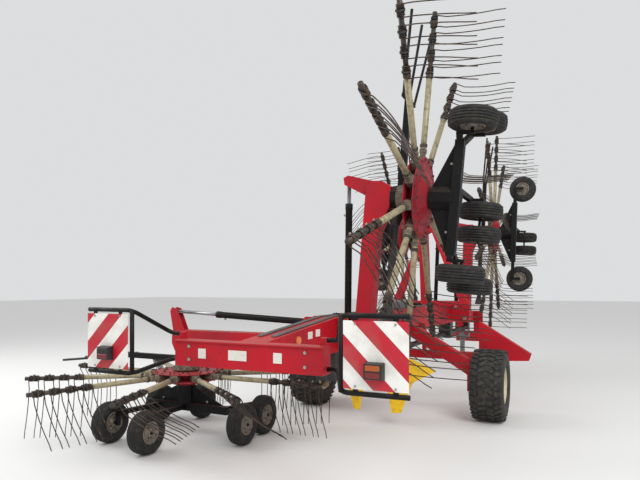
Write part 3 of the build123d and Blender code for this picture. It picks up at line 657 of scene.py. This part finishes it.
    def mesh(self, merge: float = 1e-5) -> bpy.types.Mesh:
        """Closes the bmesh into a mesh, with its doubles merged and its faces turned outwards.

        Args:
            merge: distance under which two vertices become one.

        Returns:
            The mesh, with the piece's materials.
        """
        bmesh.ops.remove_doubles(self.bm, verts=self.bm.verts, dist=merge)
        bmesh.ops.recalc_face_normals(self.bm, faces=self.bm.faces)
        mesh = bpy.data.meshes.new(self.name)
        self.bm.to_mesh(mesh)
        self.bm.free()
        for finish in self.finishes:
            mesh.materials.append(finish.make())
        return mesh

    def finish(self, body: str, slot: str, *replaced: str) -> bpy.types.Object:
        """Makes the object and hands it to the frame.

        Args:
            body: body that it rides on.
            slot: not used.
            *replaced: CAD nodes that it stands for.

        Returns:
            The new object.
        """
        piece = bpy.data.objects.new(self.name, self.mesh())
        bpy.context.scene.collection.objects.link(piece)
        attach(piece, body)
        if replaced:
            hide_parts(*replaced)
        LOG.info("%s rides on %s", self.name, body)
        return piece


def facing(axis: Vector, other: Vector, centre: Vector) -> Matrix:
    """Works out where a piece that is built along X has to go.

    Args:
        axis: direction that X is carried to.
        other: direction that Z comes as near to as can be.
        centre: place of the origin.

    Returns:
        The matrix.
    """
    across = other.cross(axis).normalized()
    up = axis.cross(across).normalized()
    turn = Matrix((axis.normalized(), across, up)).transposed().to_4x4()
    return Matrix.Translation(centre) @ turn


@dataclass
class TransportWheel:
    """Road wheel with a block-tread tyre on a dished steel rim."""

    side: str
    radius: float = 0.435
    width: float = 0.40
    rim: float = 0.225
    blocks: int = 34
    block: Triple = (0.088, 0.046, 0.016)
    row_slants: tuple[float, ...] = (-24, 24, -24, 24)
    row_shifts: tuple[float, ...] = (0.0, 0.5, 0.5, 0.0)
    row_drops: tuple[float, ...] = (0.004, 0.0, 0.0, 0.004)
    row_tips: tuple[float, ...] = (-7, 0, 0, 7)
    nuts: int = 8
    nut_circle: float = 0.11
    lip: float = 0.03
    disc_inset: float = 0.07
    turned_beyond: float = 0.19

    def tyre(self, centre: Vector) -> MeshPiece:
        """Casing with bulged side walls, and four zigzag rows of tread blocks.

        Args:
            centre: middle of the wheel.

        Returns:
            The piece.
        """
        piece = MeshPiece(f"transport_tyre_{self.side}_dressed", (RUBBER,))
        half = self.width / 2
        crown = self.radius - self.block[2]
        wall = [
            (half - 0.03, self.rim + 0.002), (half - 0.008, self.rim + 0.03), (half, self.rim + 0.085),
            (half - 0.006, self.rim + 0.14), (half - 0.03, crown - 0.018), (half - 0.07, crown),
        ]
        piece.ring([(-x, r) for x, r in wall] + [(0.0, crown + 0.004)] + wall[::-1], 72, RUBBER)
        row_pitch = (self.width - 0.03) / 4
        rows = zip(self.row_slants, self.row_shifts, self.row_drops, self.row_tips)
        for row, (slant, shift, drop, tip) in enumerate(rows):
            lift = crown + self.block[2] / 2 - drop - 0.002
            for n in range(self.blocks):
                verts = piece.block(self.block, RUBBER, bevel=0.003)
                piece.turn_and_move(
                    verts,
                    Matrix.Rotation(tau * (n + shift) / self.blocks, 4, "X")
                    @ Matrix.Translation(((row - 1.5) * row_pitch, 0, lift))
                    @ Matrix.Rotation(radians(tip), 4, "Y")
                    @ Matrix.Rotation(radians(slant), 4, "Z"),
                )
        piece.turn_and_move(piece.bm.verts, Matrix.Translation(centre))
        return piece

    def hub_face(self, centre: Vector, out: float) -> MeshPiece:
        """Wheel nuts, hub cap and bead ring on the rim's side that faces the machine.

        Args:
            centre: middle of the wheel.
            out: 1 on the right and -1 on the left.

        Returns:
            The piece.
        """
        piece = MeshPiece(f"transport_wheel_{self.side}_nuts", (BOLT, GREY, CREAM))
        face = self.width / 2 - self.lip - self.disc_inset
        for n in range(self.nuts):
            turn = tau * n / self.nuts
            verts = piece.disc(0.016, 0.018, 6, BOLT, bevel=0.002)
            piece.put(verts, self.nut_circle * cos(turn), self.nut_circle * sin(turn), face + 0.008)
        verts = piece.disc(0.062, 0.05, 24, GREY, top=0.048, bevel=0.004)
        piece.put(verts, 0, 0, face + 0.055 + 0.024)
        bead = [(face - 0.02, 0.205), (face + 0.09, 0.212), (face + 0.09, 0.205), (face - 0.01, 0.198)]
        piece.ring(bead, 48, CREAM)
        # The bead ring, and with it the top of the hub cap
        turned = [v for v in piece.bm.verts if v.co.length > self.turned_beyond]
        piece.turn_and_move(turned, Matrix.Rotation(-pi / 2, 4, "Y"))
        piece.turn_and_move(piece.bm.verts, facing(Vector((0, 0, 1)), Vector((-out, 0, 0)), centre))
        return piece

    def build(self, joint: dict) -> None:
        """Builds the tyre and the fittings on the rim.

        Args:
            joint: the wheel's joint.
        """
        centre = Vector(joint["pos_m"])
        out = 1.0 if centre.x > 0 else -1.0
        body = joint["child"]
        self.tyre(centre).finish(body, "tyre_rubber", f"transport_tyre_{self.side}")
        self.hub_face(centre, out).finish(body, "cream_paint")


@dataclass
class SmallWheel:
    """Undercarriage wheel: a ribbed press-on tyre round a pressed rim, single or twin."""

    joint: dict
    radius: float = 0.213
    width: float = 0.158
    ribs: int = 5
    groove: float = 0.008
    rim: float = 0.108
    twin_pitch: float = 0.230
    twin_size: float = 0.70
    bolts: int = 5
    bolt_circle: float = 0.066

    def template(self) -> bpy.types.Mesh:
        """One wheel about X at the origin.

        Returns:
            Its mesh.
        """
        piece = MeshPiece("small_wheel", (SMALL_RUBBER, RIM_STEEL, BOLT))
        half = self.width / 2
        land = (self.width - 0.04) / self.ribs
        crown: list[Pair] = []
        for rib in range(self.ribs):
            left = -half + 0.02 + rib * land
            bow = 0.006 * (abs(rib - (self.ribs - 1) / 2) / 2) ** 2
            top = self.radius - bow
            crown += [(left + 0.002, top), (left + land - 0.007, top)]
            if rib < self.ribs - 1:
                crown += [(left + land - 0.005, top - self.groove), (left + land, top - self.groove)]
        wall = [
            (half - 0.004, self.radius - 0.032), (half, self.radius - 0.06), (half - 0.012, self.rim + 0.012),
            (half - 0.02, self.rim),
        ]
        piece.ring(crown + wall + [(-x, r) for x, r in wall[::-1]], 40, SMALL_RUBBER)
        # Dished disc of one side: distance in from the wall, and radius
        dish = [
            (0.018, self.rim + 0.003), (0.010, self.rim - 0.006), (0.045, self.rim - 0.022), (0.040, 0.045),
            (0.012, 0.038), (0.012, 0.0155), (0.06, 0.0155), (0.06, self.rim - 0.01),
        ]
        for side in (-1, 1):
            piece.ring([(side * (half - inset), r) for inset, r in dish], 32, RIM_STEEL)
            for n in range(self.bolts):
                verts = piece.disc(0.009, 0.012, 6, BOLT)
                place = Matrix.Translation((side * (half - 0.036), 0, self.bolt_circle))
                piece.turn_and_move(verts, Matrix.Rotation(tau * n / self.bolts, 4, "X") @ place @ TO_X)
        return piece.mesh()

    def build(self, template: bpy.types.Mesh, node: str) -> None:
        """Places the wheel or pair on its axle.

        Args:
            template: one wheel at the origin.
            node: CAD node that it stands for.
        """
        centre = Vector(self.joint["pos_m"])
        axis = Vector(self.joint["axis"])
        piece = MeshPiece(f"{node}_dressed", (SMALL_RUBBER, RIM_STEEL, BOLT))
        low, high = (Vector(corner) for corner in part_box(node))
        twin = (high - low).length > self.twin_size
        offsets = (-self.twin_pitch / 2, self.twin_pitch / 2) if twin else (0.0,)
        side = Vector((0, 0, 1)) if abs(axis.z) < UPRIGHT else Vector((0, 1, 0))
        for offset in offsets:
            piece.repeat(template, facing(axis, side, centre + axis * offset))
        piece.finish(self.joint["child"], "small_tyre", node)


@dataclass
class UnitFrame:
    """Where one rotor unit stands: its hub, and the directions outwards, ahead and up the hub's axis."""

    name: str
    rotor: dict
    mirrored: bool
    reach: float

    def base(self) -> Matrix:
        """Works out how the unit stands.

        Returns:
            Matrix from the unit's own frame, with X outwards from the machine, to the machine's.
        """
        up = Vector(self.rotor["axis"])
        out = Vector((0, 1, 0)).cross(up) * (-1 if self.mirrored else 1)
        turn = Matrix((out, Vector((0, 1, 0)), up)).transposed().to_4x4()
        return Matrix.Translation(Vector(self.rotor["pos_m"])) @ turn


@dataclass
class TineArms:
    """Ten tine arms of one rotor: tubes, carriers, clamps, coil springs and long sprung tines."""

    unit: UnitFrame
    arms: int = 10
    start: float = 0.202
    tube: float = 0.027
    tube_end: float = 1.10
    carrier: float = 0.0215
    end: float = 1.66
    clamps: int = 4
    first_clamp: float = 1.12
    clamp_pitch: float = 0.15
    clamp: Triple = (0.022, 0.058, 0.064)
    reach: float = 0.615
    knee: float = 0.035
    bow: float = 0.047
    wire: float = 0.0052
    coil_radius: float = 0.029
    coil_foot: float = 0.012
    coil_turns: int = 3
    coil_pitch: float = 0.0115
    lift: float = 60.0
    lift_at: float = 250.0

    def fixed_part(self) -> bpy.types.Mesh:
        """Bearing casting, tube and its collars, along X.

        Returns:
            Their mesh.
        """
        piece = MeshPiece("tine_arm_tube", (ARM_TUBE, CASTING, CARRIER))
        piece.wire([Vector((self.start, 0, 0)), Vector((self.tube_end, 0, 0))], self.tube, 14, ARM_TUBE)
        for x, length, size in ((0.28, 0.155, 0.066), (0.42, 0.05, 0.058)):
            piece.put(piece.block((length, size, size), CASTING, bevel=0.008), x, 0, 0)
        for x, radius in ((0.47, 0.034), (self.tube_end - 0.012, 0.032)):
            piece.put(piece.disc(radius, 0.03, 16, CARRIER, bevel=0.003), x, 0, 0, TO_X)
        return piece.mesh()

    def tine_line(self) -> list[Vector]:
        """Centre line of one tine, bowed back and straightening to its tip.

        Returns:
            Its points, from the coil down.
        """
        line = [Vector((0, -self.coil_radius, 0)), Vector((0, -self.coil_radius + 0.004, -self.knee))]
        for n in range(1, 9):
            t = n / 8
            back = self.bow * sin(pi * min(1.0, 0.25 + 0.85 * t))
            y = back * (0.55 + 0.45 * t) - 0.012 * (1 - t)
            line.append(Vector((0, y, -self.knee - (self.reach - self.knee) * t)))
        return line

    def turning_part(self) -> bpy.types.Mesh:
        """Carrier with its clamps, coils and tines, along X, tines down.

        Returns:
            Their mesh.
        """
        piece = MeshPiece("tine_carrier", (CARRIER, CASTING, SPRING, BOLT))
        bar = [Vector((self.tube_end - 0.05, 0, 0)), Vector((self.end, 0, 0))]
        piece.wire(bar, self.carrier, 12, CARRIER)
        line = self.tine_line()
        for n in range(self.clamps):
            x = self.first_clamp + n * self.clamp_pitch
            piece.put(piece.block(self.clamp, CARRIER, bevel=0.006), x, 0, 0.002)
            piece.put(piece.disc(0.009, 0.012, 6, BOLT), x, 0, 0.038)
            for side in (-1, 1):
                pitch = side * self.coil_pitch
                verts = piece.coil(self.coil_radius, self.wire, self.coil_turns, pitch, SPRING)
                piece.put(verts, x + side * self.coil_foot, 0, 0)
                verts = piece.wire(line, self.wire, 5, SPRING, taper=0.85)
                piece.put(verts, x + side * (self.coil_foot + self.coil_turns * self.coil_pitch), 0, 0)
        return piece.mesh()

    def build(self, node: str) -> None:
        """Places all arms about the rotor's axis, each rolled by its place on the cam.

        Args:
            node: CAD node of the rotor's tine arms.
        """
        base = self.unit.base()
        tube, comb = self.fixed_part(), self.turning_part()
        piece = MeshPiece(f"{node}_dressed", (ARM_TUBE, CASTING, CARRIER, SPRING, BOLT))
        for template, names in ((tube, (0, 1, 2)), (comb, (2, 1, 3, 4))):
            for polygon in template.polygons:
                polygon.material_index = names[polygon.material_index]
        for n in range(self.arms):
            heading = tau * n / self.arms
            lift = radians(self.lift) * max(0.0, cos(heading - radians(self.lift_at)))
            spoke = base @ Matrix.Rotation(heading, 4, "Z")
            piece.repeat(tube, spoke)
            piece.repeat(comb, spoke @ Matrix.Rotation(-lift, 4, "X"))
        piece.finish(self.unit.rotor["child"], "worn_steel", node)


@dataclass
class RearEnd:
    """Blank plates and bolts on the rear cross beam, reflectors on the main beam's sides, and lamps."""

    plates: tuple[Pair, ...] = ((-0.38, 0.07), (-0.06, 0.16), (0.28, 0.07))
    plate_height: float = 0.075
    plate_drop: float = 0.155
    beam_side: float = 0.120
    reflector: Pair = (-7.39, 1.19)
    labels: tuple[Pair, ...] = ((-7.17, 1.215), (-7.02, 1.225))
    label: Triple = (0.003, 0.085, 0.062)
    bolt_x: float = 0.50
    lens: Triple = (0.096, 0.012, 0.038)
    lens_z: float = 0.022

    def build(self) -> None:
        """Builds the plates, reflectors, bolts and lamp lenses."""
        low, high = (Vector(corner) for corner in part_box("rear_cross_beam"))
        middle = high.z - self.plate_drop
        piece = MeshPiece("rear_plates_and_reflectors", (PLATE, AMBER, BOLT))
        for x, wide in self.plates:
            verts = piece.block((wide, 0.003, self.plate_height), PLATE, bevel=0.001)
            piece.put(verts, x, low.y + 0.0125, middle)
        for side in (-1, 1):
            verts = piece.disc(0.038, 0.014, 28, AMBER, top=0.033, bevel=0.002)
            outwards = Matrix.Rotation(side * pi / 2, 4, "Y")
            piece.put(verts, side * (self.beam_side + 0.006), *self.reflector, outwards)
            for y, height in self.labels:
                verts = piece.block(self.label, PLATE, bevel=0.001)
                piece.put(verts, side * (self.beam_side + 0.001), y, height)
            for z in (-0.05, 0.05):
                verts = piece.disc(0.013, 0.010, 6, BOLT)
                piece.put(verts, side * self.bolt_x, low.y + 0.010, middle + z, TO_Y)
        piece.finish("frame", "white_board")
        self.lenses()

    def lenses(self) -> None:
        """Lens caps on the two lamps: amber over red on the right, dark over red on the left."""
        low, high = (Vector(corner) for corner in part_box("rear_lamps"))
        middle = (low.z + high.z) / 2
        piece = MeshPiece("rear_lamp_lenses", (DARK_HOUSING, DARK_AMBER, RED_LENS))
        for side, upper, lower in ((-1, DARK_HOUSING, RED_LENS), (1, DARK_AMBER, RED_LENS)):
            x = side * (high.x - 0.065)
            for z, finish in ((self.lens_z, upper), (-self.lens_z, lower)):
                piece.put(piece.block(self.lens, finish, bevel=0.004), x, low.y + 0.004, middle + z)
        piece.finish("frame", "lamp_lens")


@dataclass
class RotorHead:
    """Bolts, bearing housings and covers round one rotor's hub and gearbox."""

    unit: UnitFrame
    half_gap: float = 0.045
    housing: Triple = (0.09, 0.085, 0.07)
    housings: int = 10
    bolt_places: tuple[Pair, ...] = (
        (0.335, 0.055), (0.335, -0.055), (0.235, 0.048), (0.235, -0.048),
    )
    # Two stacked castings of the gearbox: foot, height, radius at the foot and at the top
    castings: tuple[tuple[float, ...], ...] = ((0.058, 0.014, 0.150, 0.150), (0.072, 0.120, 0.132, 0.112))
    flange_bolts: int = 12
    flange_circle: float = 0.141
    shaft_height: float = 0.205
    # Bolts of the gusset: x, z, radius and depth, each on both of the faces
    gusset: tuple[tuple[float, ...], ...] = (
        (-0.055, -0.15, 0.016, 0.012), (0.055, -0.15, 0.016, 0.012), (-0.075, -0.225, 0.016, 0.012),
        (0.075, -0.225, 0.016, 0.012), (0.0, -0.27, 0.016, 0.012), (-0.3, -0.275, 0.013, 0.010),
        (0.3, -0.275, 0.013, 0.010),
    )
    gusset_faces: Pair = (-0.0275, -0.0065)

    def hub(self) -> None:
        """Adds ten cast housings and the rims of bolts to the hub."""
        base = self.unit.base()
        piece = MeshPiece(f"{self.unit.name}_hub_fittings", (HUB_BOLT, CASTING))
        for n in range(self.housings):
            spoke = base @ Matrix.Rotation(tau * n / self.housings, 4, "Z")
            for face in (-1, 1):
                for radius, offset in self.bolt_places:
                    verts = piece.disc(0.0115, 0.011, 6, HUB_BOLT)
                    place = Matrix.Translation((radius, offset, face * (self.half_gap + 0.005)))
                    piece.turn_and_move(verts, spoke @ place)
            verts = piece.block(self.housing, CASTING, bevel=0.008)
            piece.turn_and_move(verts, spoke @ Matrix.Translation((0.325, 0, 0)))
        piece.finish(self.unit.rotor["child"], "worn_steel")

    def gearbox(self) -> None:
        """Adds a flanged gearbox, the guarded drive shaft along the arm and its cones."""
        piece = MeshPiece(f"{self.unit.name}_gearbox_and_shaft", (CASTING, SHAFT_GUARD, BOLT))
        for foot, height, radius, top in self.castings:
            piece.put(piece.disc(radius, height, 40, CASTING, top=top, bevel=0.004), 0, 0, foot + height / 2)
        for n in range(self.flange_bolts):
            turn = tau * n / self.flange_bolts
            verts = piece.disc(0.009, 0.010, 6, BOLT)
            piece.put(verts, self.flange_circle * cos(turn), self.flange_circle * sin(turn), 0.077)
        end = -self.unit.reach + 0.26
        verts = piece.ring(
            [
                (-0.13, 0.0), (-0.13, 0.075), (-0.15, 0.078), (-0.24, 0.046), (-0.26, 0.046), (-0.26, 0.036),
                (end + 0.10, 0.036), (end + 0.10, 0.046), (end + 0.02, 0.064), (end, 0.062), (end, 0.0),
            ],
            28, SHAFT_GUARD,
        )
        piece.put(verts, 0, 0, self.shaft_height)
        verts = piece.disc(0.045, 0.07, 20, CASTING, bevel=0.004)
        piece.put(verts, -0.145, 0, self.shaft_height, Matrix.Rotation(-pi / 2, 4, "Y"))
        piece.turn_and_move(piece.bm.verts, self.unit.base())
        piece.finish(f"{self.unit.name}_arm_unit", "black_plastic")

    def gusset_bolts(self) -> None:
        """Adds the bolts that hold the gusset plate to the column, on both of its faces."""
        piece = MeshPiece(f"{self.unit.name}_gusset_bolts", (BOLT,))
        for x, z, radius, depth in self.gusset:
            for y in self.gusset_faces:
                piece.put(piece.disc(radius, depth, 6, BOLT, bevel=0.002), x, y, z, TO_Y)
        piece.turn_and_move(piece.bm.verts, self.unit.base())
        piece.finish(f"{self.unit.name}_arm_unit", "worn_steel")

    def build(self) -> None:
        """Builds the hub's fittings, the gearbox with its shaft and the gusset's bolts."""
        self.hub()
        self.gearbox()
        self.gusset_bolts()


@dataclass
class FoldCylinder:
    """Hydraulic fold cylinder: a painted barrel with its ports and gland, and a chromed rod with its eye."""

    name: str
    swing: dict
    stroke: dict
    length: float = 1.15
    radius: float = 0.033
    bore: float = 0.0205
    rod: float = 0.0188
    rod_length: float = 1.0

    def build(self) -> None:
        """Builds barrel and rod on the line between their two pins."""
        anchor, tip = Vector(self.swing["pos_m"]), Vector(self.stroke["pos_m"])
        along = (tip - anchor).normalized()
        barrel = MeshPiece(f"{self.name}_barrel_dressed", (BLACK, BOLT))
        barrel.ring(
            [
                (0.03, 0.0), (0.03, self.radius - 0.004), (0.036, self.radius),
                (self.length - 0.062, self.radius), (self.length - 0.06, self.radius + 0.003),
                (self.length - 0.004, self.radius + 0.003), (self.length, self.radius - 0.001),
                (self.length, self.bore), (self.length - 0.09, self.bore), (self.length - 0.09, 0.0),
            ],
            32, BLACK,
        )
        verts = barrel.ring([(-0.032, 0.017), (-0.032, 0.033), (0.032, 0.033), (0.032, 0.017)], 28, BLACK)
        barrel.turn_and_move(verts, Matrix.Rotation(pi / 2, 4, "Z"))
        for x in (0.09, self.length - 0.11):
            barrel.put(barrel.disc(0.012, 0.022, 6, BOLT, bevel=0.002), x, 0, self.radius + 0.008)
        barrel.turn_and_move(barrel.bm.verts, facing(along, Vector((0, 1, 0)), anchor) @ TO_Y)
        barrel.finish(self.swing["child"], "black_paint", f"{self.name}_barrel")
        rod = MeshPiece(f"{self.name}_rod_dressed", (CHROME, BLACK))
        bar = [(-self.rod_length, 0.0), (-self.rod_length, self.rod), (-0.02, self.rod), (-0.02, 0.0)]
        rod.ring(bar, 28, CHROME)
        verts = rod.ring([(-0.02, 0.0), (-0.02, 0.03), (0.02, 0.03), (0.02, 0.0)], 24, BLACK)
        rod.turn_and_move(verts, Matrix.Rotation(pi / 2, 4, "Z"))
        rod.turn_and_move(rod.bm.verts, facing(along, Vector((0, 1, 0)), tip) @ TO_Y)
        rod.finish(self.stroke["child"], "chrome_rod", f"{self.name}_rod")


@dataclass
class BoardFrames:
    """Bent round tubes that carry the two warning boards, with their clips."""

    root: Pair = (0.640, -7.940)
    board_y: float = -8.233
    inner: float = 0.8665
    outer: float = 1.3115
    heights: tuple[Pair, ...] = ((1.262, 1.453), (1.060, 0.970))
    tube: float = 0.017
    middle: float = 1.100
    clip: Triple = (0.036, 0.006, 0.058)
    clip_offset: float = 0.13
    # Height of each row of clips, and of its screw above the clip's middle
    clip_rows: tuple[Pair, ...] = ((1.0, 0.018), (1.423, -0.018))

    def rounded(self, corners: list[Vector], bend: float = 0.06) -> list[Vector]:
        """Centre line with each corner drawn as a short bend.

        Args:
            corners: ends and corners of the line.
            bend: distance from a corner at which its bend starts.

        Returns:
            Points along the line.
        """
        line = [corners[0]]
        for before, corner, after in zip(corners, corners[1:], corners[2:]):
            start = corner + (before - corner).normalized() * min(bend, (before - corner).length * 0.45)
            end = corner + (after - corner).normalized() * min(bend, (after - corner).length * 0.45)
            for n in range(6):
                t = n / 5
                line.append(start * (1 - t) ** 2 + corner * 2 * t * (1 - t) + end * t**2)
        return line + [corners[-1]]

    def build(self) -> None:
        """Builds both frames as one piece."""
        piece = MeshPiece("board_frames_dressed", (BLACK, BOLT))
        for side in (-1, 1):
            for root_z, board_z in self.heights:
                corners = [
                    Vector((side * self.root[0], self.root[1], root_z)),
                    Vector((side * (self.root[0] + 0.08), self.root[1], root_z)),
                    Vector((side * self.inner, self.board_y, board_z)),
                    Vector((side * self.outer, self.board_y, board_z)),
                ]
                piece.wire(self.rounded(corners), self.tube, 14, BLACK)
            ends = [Vector((side * self.inner, self.board_y, z)) for z in (0.970, 1.453)]
            piece.wire(ends, self.tube, 14, BLACK)
            face = self.board_y - self.tube + self.clip[1] / 2
            for across in (-self.clip_offset, self.clip_offset):
                x = side * self.middle + across
                for z, inset in self.clip_rows:
                    piece.put(piece.block(self.clip, BLACK, bevel=0.001), x, face, z)
                    piece.put(piece.disc(0.008, 0.008, 6, BOLT), x, face - 0.0085, z + inset, TO_Y)
        piece.finish("frame", "black_paint", "board_frames")


@dataclass
class BeamFittings:
    """Steel pipes with their clips, the valve block and the nuts on the fold pins, all on the main frame."""

    pipe: float = 0.007
    rows: tuple[float, ...] = (-0.075, -0.050, 0.050, 0.075)
    line: tuple[Pair, ...] = ((-7.70, 1.247), (-6.59, 1.349), (-1.35, 1.349), (-0.10, 1.204))
    clips: tuple[float, ...] = (-6.2, -5.4, -4.6, -3.8, -3.0, -2.2, -1.5)
    clip: Triple = (0.075, 0.028, 0.022)
    clip_x: float = 0.0625
    clip_z: float = 1.351
    valve: Triple = (0.20, 0.26, 0.10)
    valve_y: float = -4.15
    valve_z: float = 1.388
    slices: int = 4
    slice_pitch: float = 0.06
    pins: tuple[Triple, ...] = ((0.350, 1.080, 0.030), (0.190, 1.280, 0.022))
    bracket_rows: tuple[float, ...] = (-6.5, -1.5)
    pin_reach: float = 0.115

    def pipes(self) -> None:
        """Lays the pipes along the beam, under clips, and adds the valve block with its screws."""
        piece = MeshPiece("beam_pipes", (GREY, BLACK, BOLT))
        for x in self.rows:
            piece.wire([Vector((x, y, z)) for y, z in self.line], self.pipe, 8, GREY)
        for y in self.clips:
            for side in (-1, 1):
                piece.put(piece.block(self.clip, BLACK, bevel=0.004), side * self.clip_x, y, self.clip_z)
                piece.put(piece.disc(0.007, 0.008, 6, BOLT), side * self.clip_x, y, self.clip_z + 0.014)
        piece.put(piece.block(self.valve, GREY, bevel=0.006), 0, self.valve_y, self.valve_z)
        for n in range(self.slices):
            y = self.valve_y - 0.09 + self.slice_pitch * n
            piece.put(piece.disc(0.017, 0.16, 16, BLACK, bevel=0.003), 0.16, y, self.valve_z + 0.017, TO_X)
            for x in (-0.06, 0.0, 0.05):
                piece.put(piece.disc(0.012, 0.024, 6, BOLT, bevel=0.002), x, y, self.valve_z + 0.060)
        piece.finish("frame", "grey_paint")

    def pin_nuts(self) -> None:
        """Puts a washer and a nut on both ends of each fold pin."""
        piece = MeshPiece("fold_pin_nuts", (BOLT,))
        # Washer and nut: radius in radii of the pin, sides, depth and distance beyond the washer
        stack = ((1.25, 20, 0.005, 0.0), (1.0, 6, 0.016, 0.009))
        for row, side, (x, z, size), end in product(self.bracket_rows, (-1, 1), self.pins, (-1, 1)):
            for over, sides, depth, off in stack:
                verts = piece.disc(size * over, depth, sides, BOLT, bevel=0.001)
                piece.put(verts, side * x, row + end * (self.pin_reach - 0.009 + off), z, TO_Y)
        piece.finish("frame", "worn_steel")

    def build(self) -> None:
        """Builds the pipes and the nuts."""
        self.pipes()
        self.pin_nuts()


@dataclass
class Studio:
    """Camera at the photograph's viewpoint, pale floor and soft lights."""

    eye: Triple = (2.25, -11.44, 1.63)
    heading: float = 25.5
    focal_px: float = 556.0
    horizon_px: float = 287.0
    picture: tuple[int, int] = (640, 480)
    sensor_mm: float = 36.0
    sight: float = 200.0
    aim: Triple = (0, -3.5, 1.2)
    floor_half: float = 60.0
    sky: str = "#EDEEEF"
    sky_strength: float = 0.85

    def camera(self) -> None:
        """Sets the camera level, shifted so that the horizon falls at its row."""
        data = bpy.data.cameras.new("camera")
        data.sensor_width = self.sensor_mm
        data.lens = self.focal_px / self.picture[0] * data.sensor_width
        data.clip_end = self.sight
        camera = bpy.data.objects.new("camera", data)
        data.shift_y = (self.horizon_px - self.picture[1] / 2) / self.picture[0]
        camera.location = self.eye
        camera.rotation_euler = (pi / 2, 0.0, radians(self.heading))
        bpy.context.scene.collection.objects.link(camera)
        bpy.context.scene.camera = camera

    def lamp(self, name: str, place: Vector, size: float, power: float) -> None:
        """Adds a square soft light that faces the machine.

        Args:
            name: its name.
            place: where it hangs.
            size: its side.
            power: its power in watts.
        """
        data = bpy.data.lights.new(name, "AREA")
        data.size = size
        data.energy = power
        lamp = bpy.data.objects.new(name, data)
        lamp.location = place
        lamp.rotation_euler = (Vector(self.aim) - place).to_track_quat("-Z", "Y").to_euler()
        bpy.context.scene.collection.objects.link(lamp)

    def build(self) -> None:
        """Sets floor, world, lights and camera."""
        scene = bpy.context.scene
        scene.view_settings.view_transform = "Standard"
        piece = MeshPiece("studio_floor", (FLOOR,))
        bmesh.ops.create_grid(piece.bm, x_segments=1, y_segments=1, size=self.floor_half)
        floor = bpy.data.objects.new("studio_floor", piece.mesh())
        scene.collection.objects.link(floor)
        world = bpy.data.worlds.new("studio_world")
        world.use_nodes = True
        tree = world.node_tree
        tree.nodes.clear()
        back = add_node(tree, "ShaderNodeBackground", Color=linear(self.sky), Strength=self.sky_strength)
        add_node(tree, "ShaderNodeOutputWorld", Surface=back.outputs[0])
        scene.world = world
        self.lamp("key", Vector((7.0, -13.0, 9.0)), 6.0, 900.0)
        self.lamp("fill", Vector((-9.0, -8.0, 7.0)), 7.0, 450.0)
        self.camera()


PAINT_BY_ENDING: tuple[tuple[str, Finish], ...] = (
    ("warning_boards", BOARD), ("board_frames", BLACK), ("rear_lamps", DARK_HOUSING),
    ("parking_stand", GREY), ("drive_line", SHAFT_GUARD), ("yellow_guard", YELLOW),
    ("transport_rim_left", CREAM), ("transport_rim_right", CREAM), ("_undercarriage", BLACK),
    ("_rotor_hub", HUB_RED), ("_barrel", BLACK), ("_rod", CHROME),
)

# Each rotor unit: its name, whether it is on the left, and the arm's reach in metres
UNITS: tuple[tuple[str, bool, float], ...] = (
    ("rear_right", False, 1.40), ("rear_left", True, 1.40), ("front_right", False, 1.50),
    ("front_left", True, 1.50),
)

# Width of the rounded edges in metres, where it isn't EDGE
EDGE_BY_ENDING: tuple[tuple[str, float], ...] = (
    ("warning_boards", 0.001), ("yellow_guard", 0.002), ("_rotor_hub", 0.002), ("_undercarriage", 0.003),
    ("_brackets", 0.003), ("hitch_head", 0.004), ("transport_rim_left", 0.002),
    ("transport_rim_right", 0.002),
)
EDGE = 0.006
SHARP_DEGREES = 40
WELD = 0.00005


class Stance(Enum):
    """How a rotor unit stands in the photograph's pose."""

    FOLDED = "folded"
    LOWERED = "lowered"


def paint_nodes(nodes: dict[str, bpy.types.Object]) -> None:
    """Gives every CAD node its finish and rounded edges; what isn't in the table is sprayed red.

    Args:
        nodes: CAD nodes by name.
    """
    for name, node in nodes.items():
        finish = next((f for ending, f in PAINT_BY_ENDING if name.endswith(ending)), RED)
        node.data.materials.clear()
        node.data.materials.append(finish.make())
        width = next((w for ending, w in EDGE_BY_ENDING if name.endswith(ending)), EDGE)
        weld = node.modifiers.new("welded_seams", "WELD")
        weld.merge_threshold = WELD
        edge = node.modifiers.new("rounded_edges", "BEVEL")
        edge.width = width
        edge.segments = 2
        edge.limit_method = "ANGLE"
        edge.angle_limit = radians(SHARP_DEGREES)


def build_units(joints: dict[str, dict]) -> None:
    """Builds wheels, tine arms and hub fittings of the four rotor units.

    Args:
        joints: joints by name.
    """
    small = None
    for name, mirrored, reach in UNITS:
        rotor = joints[f"{name}_rotor_spin"]
        stance = Stance.LOWERED if Vector(rotor["axis"]).z > UPRIGHT else Stance.FOLDED
        LOG.info("%s is %s", name, stance.value)
        unit = UnitFrame(name, rotor, mirrored, reach)
        TineArms(unit).build(f"{name}_tine_arms")
        RotorHead(unit).build()
        FoldCylinder(name, joints[f"{name}_cylinder_swing"], joints[f"{name}_cylinder_stroke"]).build()
        for key, joint in joints.items():
            if key.startswith(name) and key.endswith("_wheel_spin"):
                wheel = SmallWheel(joint)
                small = small or wheel.template()
                place = key[len(name) + 1 : -len("_wheel_spin")]
                wheel.build(small, f"{name}_wheel_{place}")


def main() -> None:
    """Builds the dressed rake and its studio, piece by piece."""
    logging.basicConfig(level=logging.INFO)
    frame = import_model()
    joints = {joint["name"]: joint for joint in frame["joints"]}
    paint_nodes(frame["nodes"])
    for side in ("left", "right"):
        TransportWheel(side).build(joints[f"transport_wheel_{side}_spin"])
    build_units(joints)
    BoardFrames().build()
    BeamFittings().build()
    RearEnd().build()
    Studio().build()


if __name__ == "__main__":
    main()
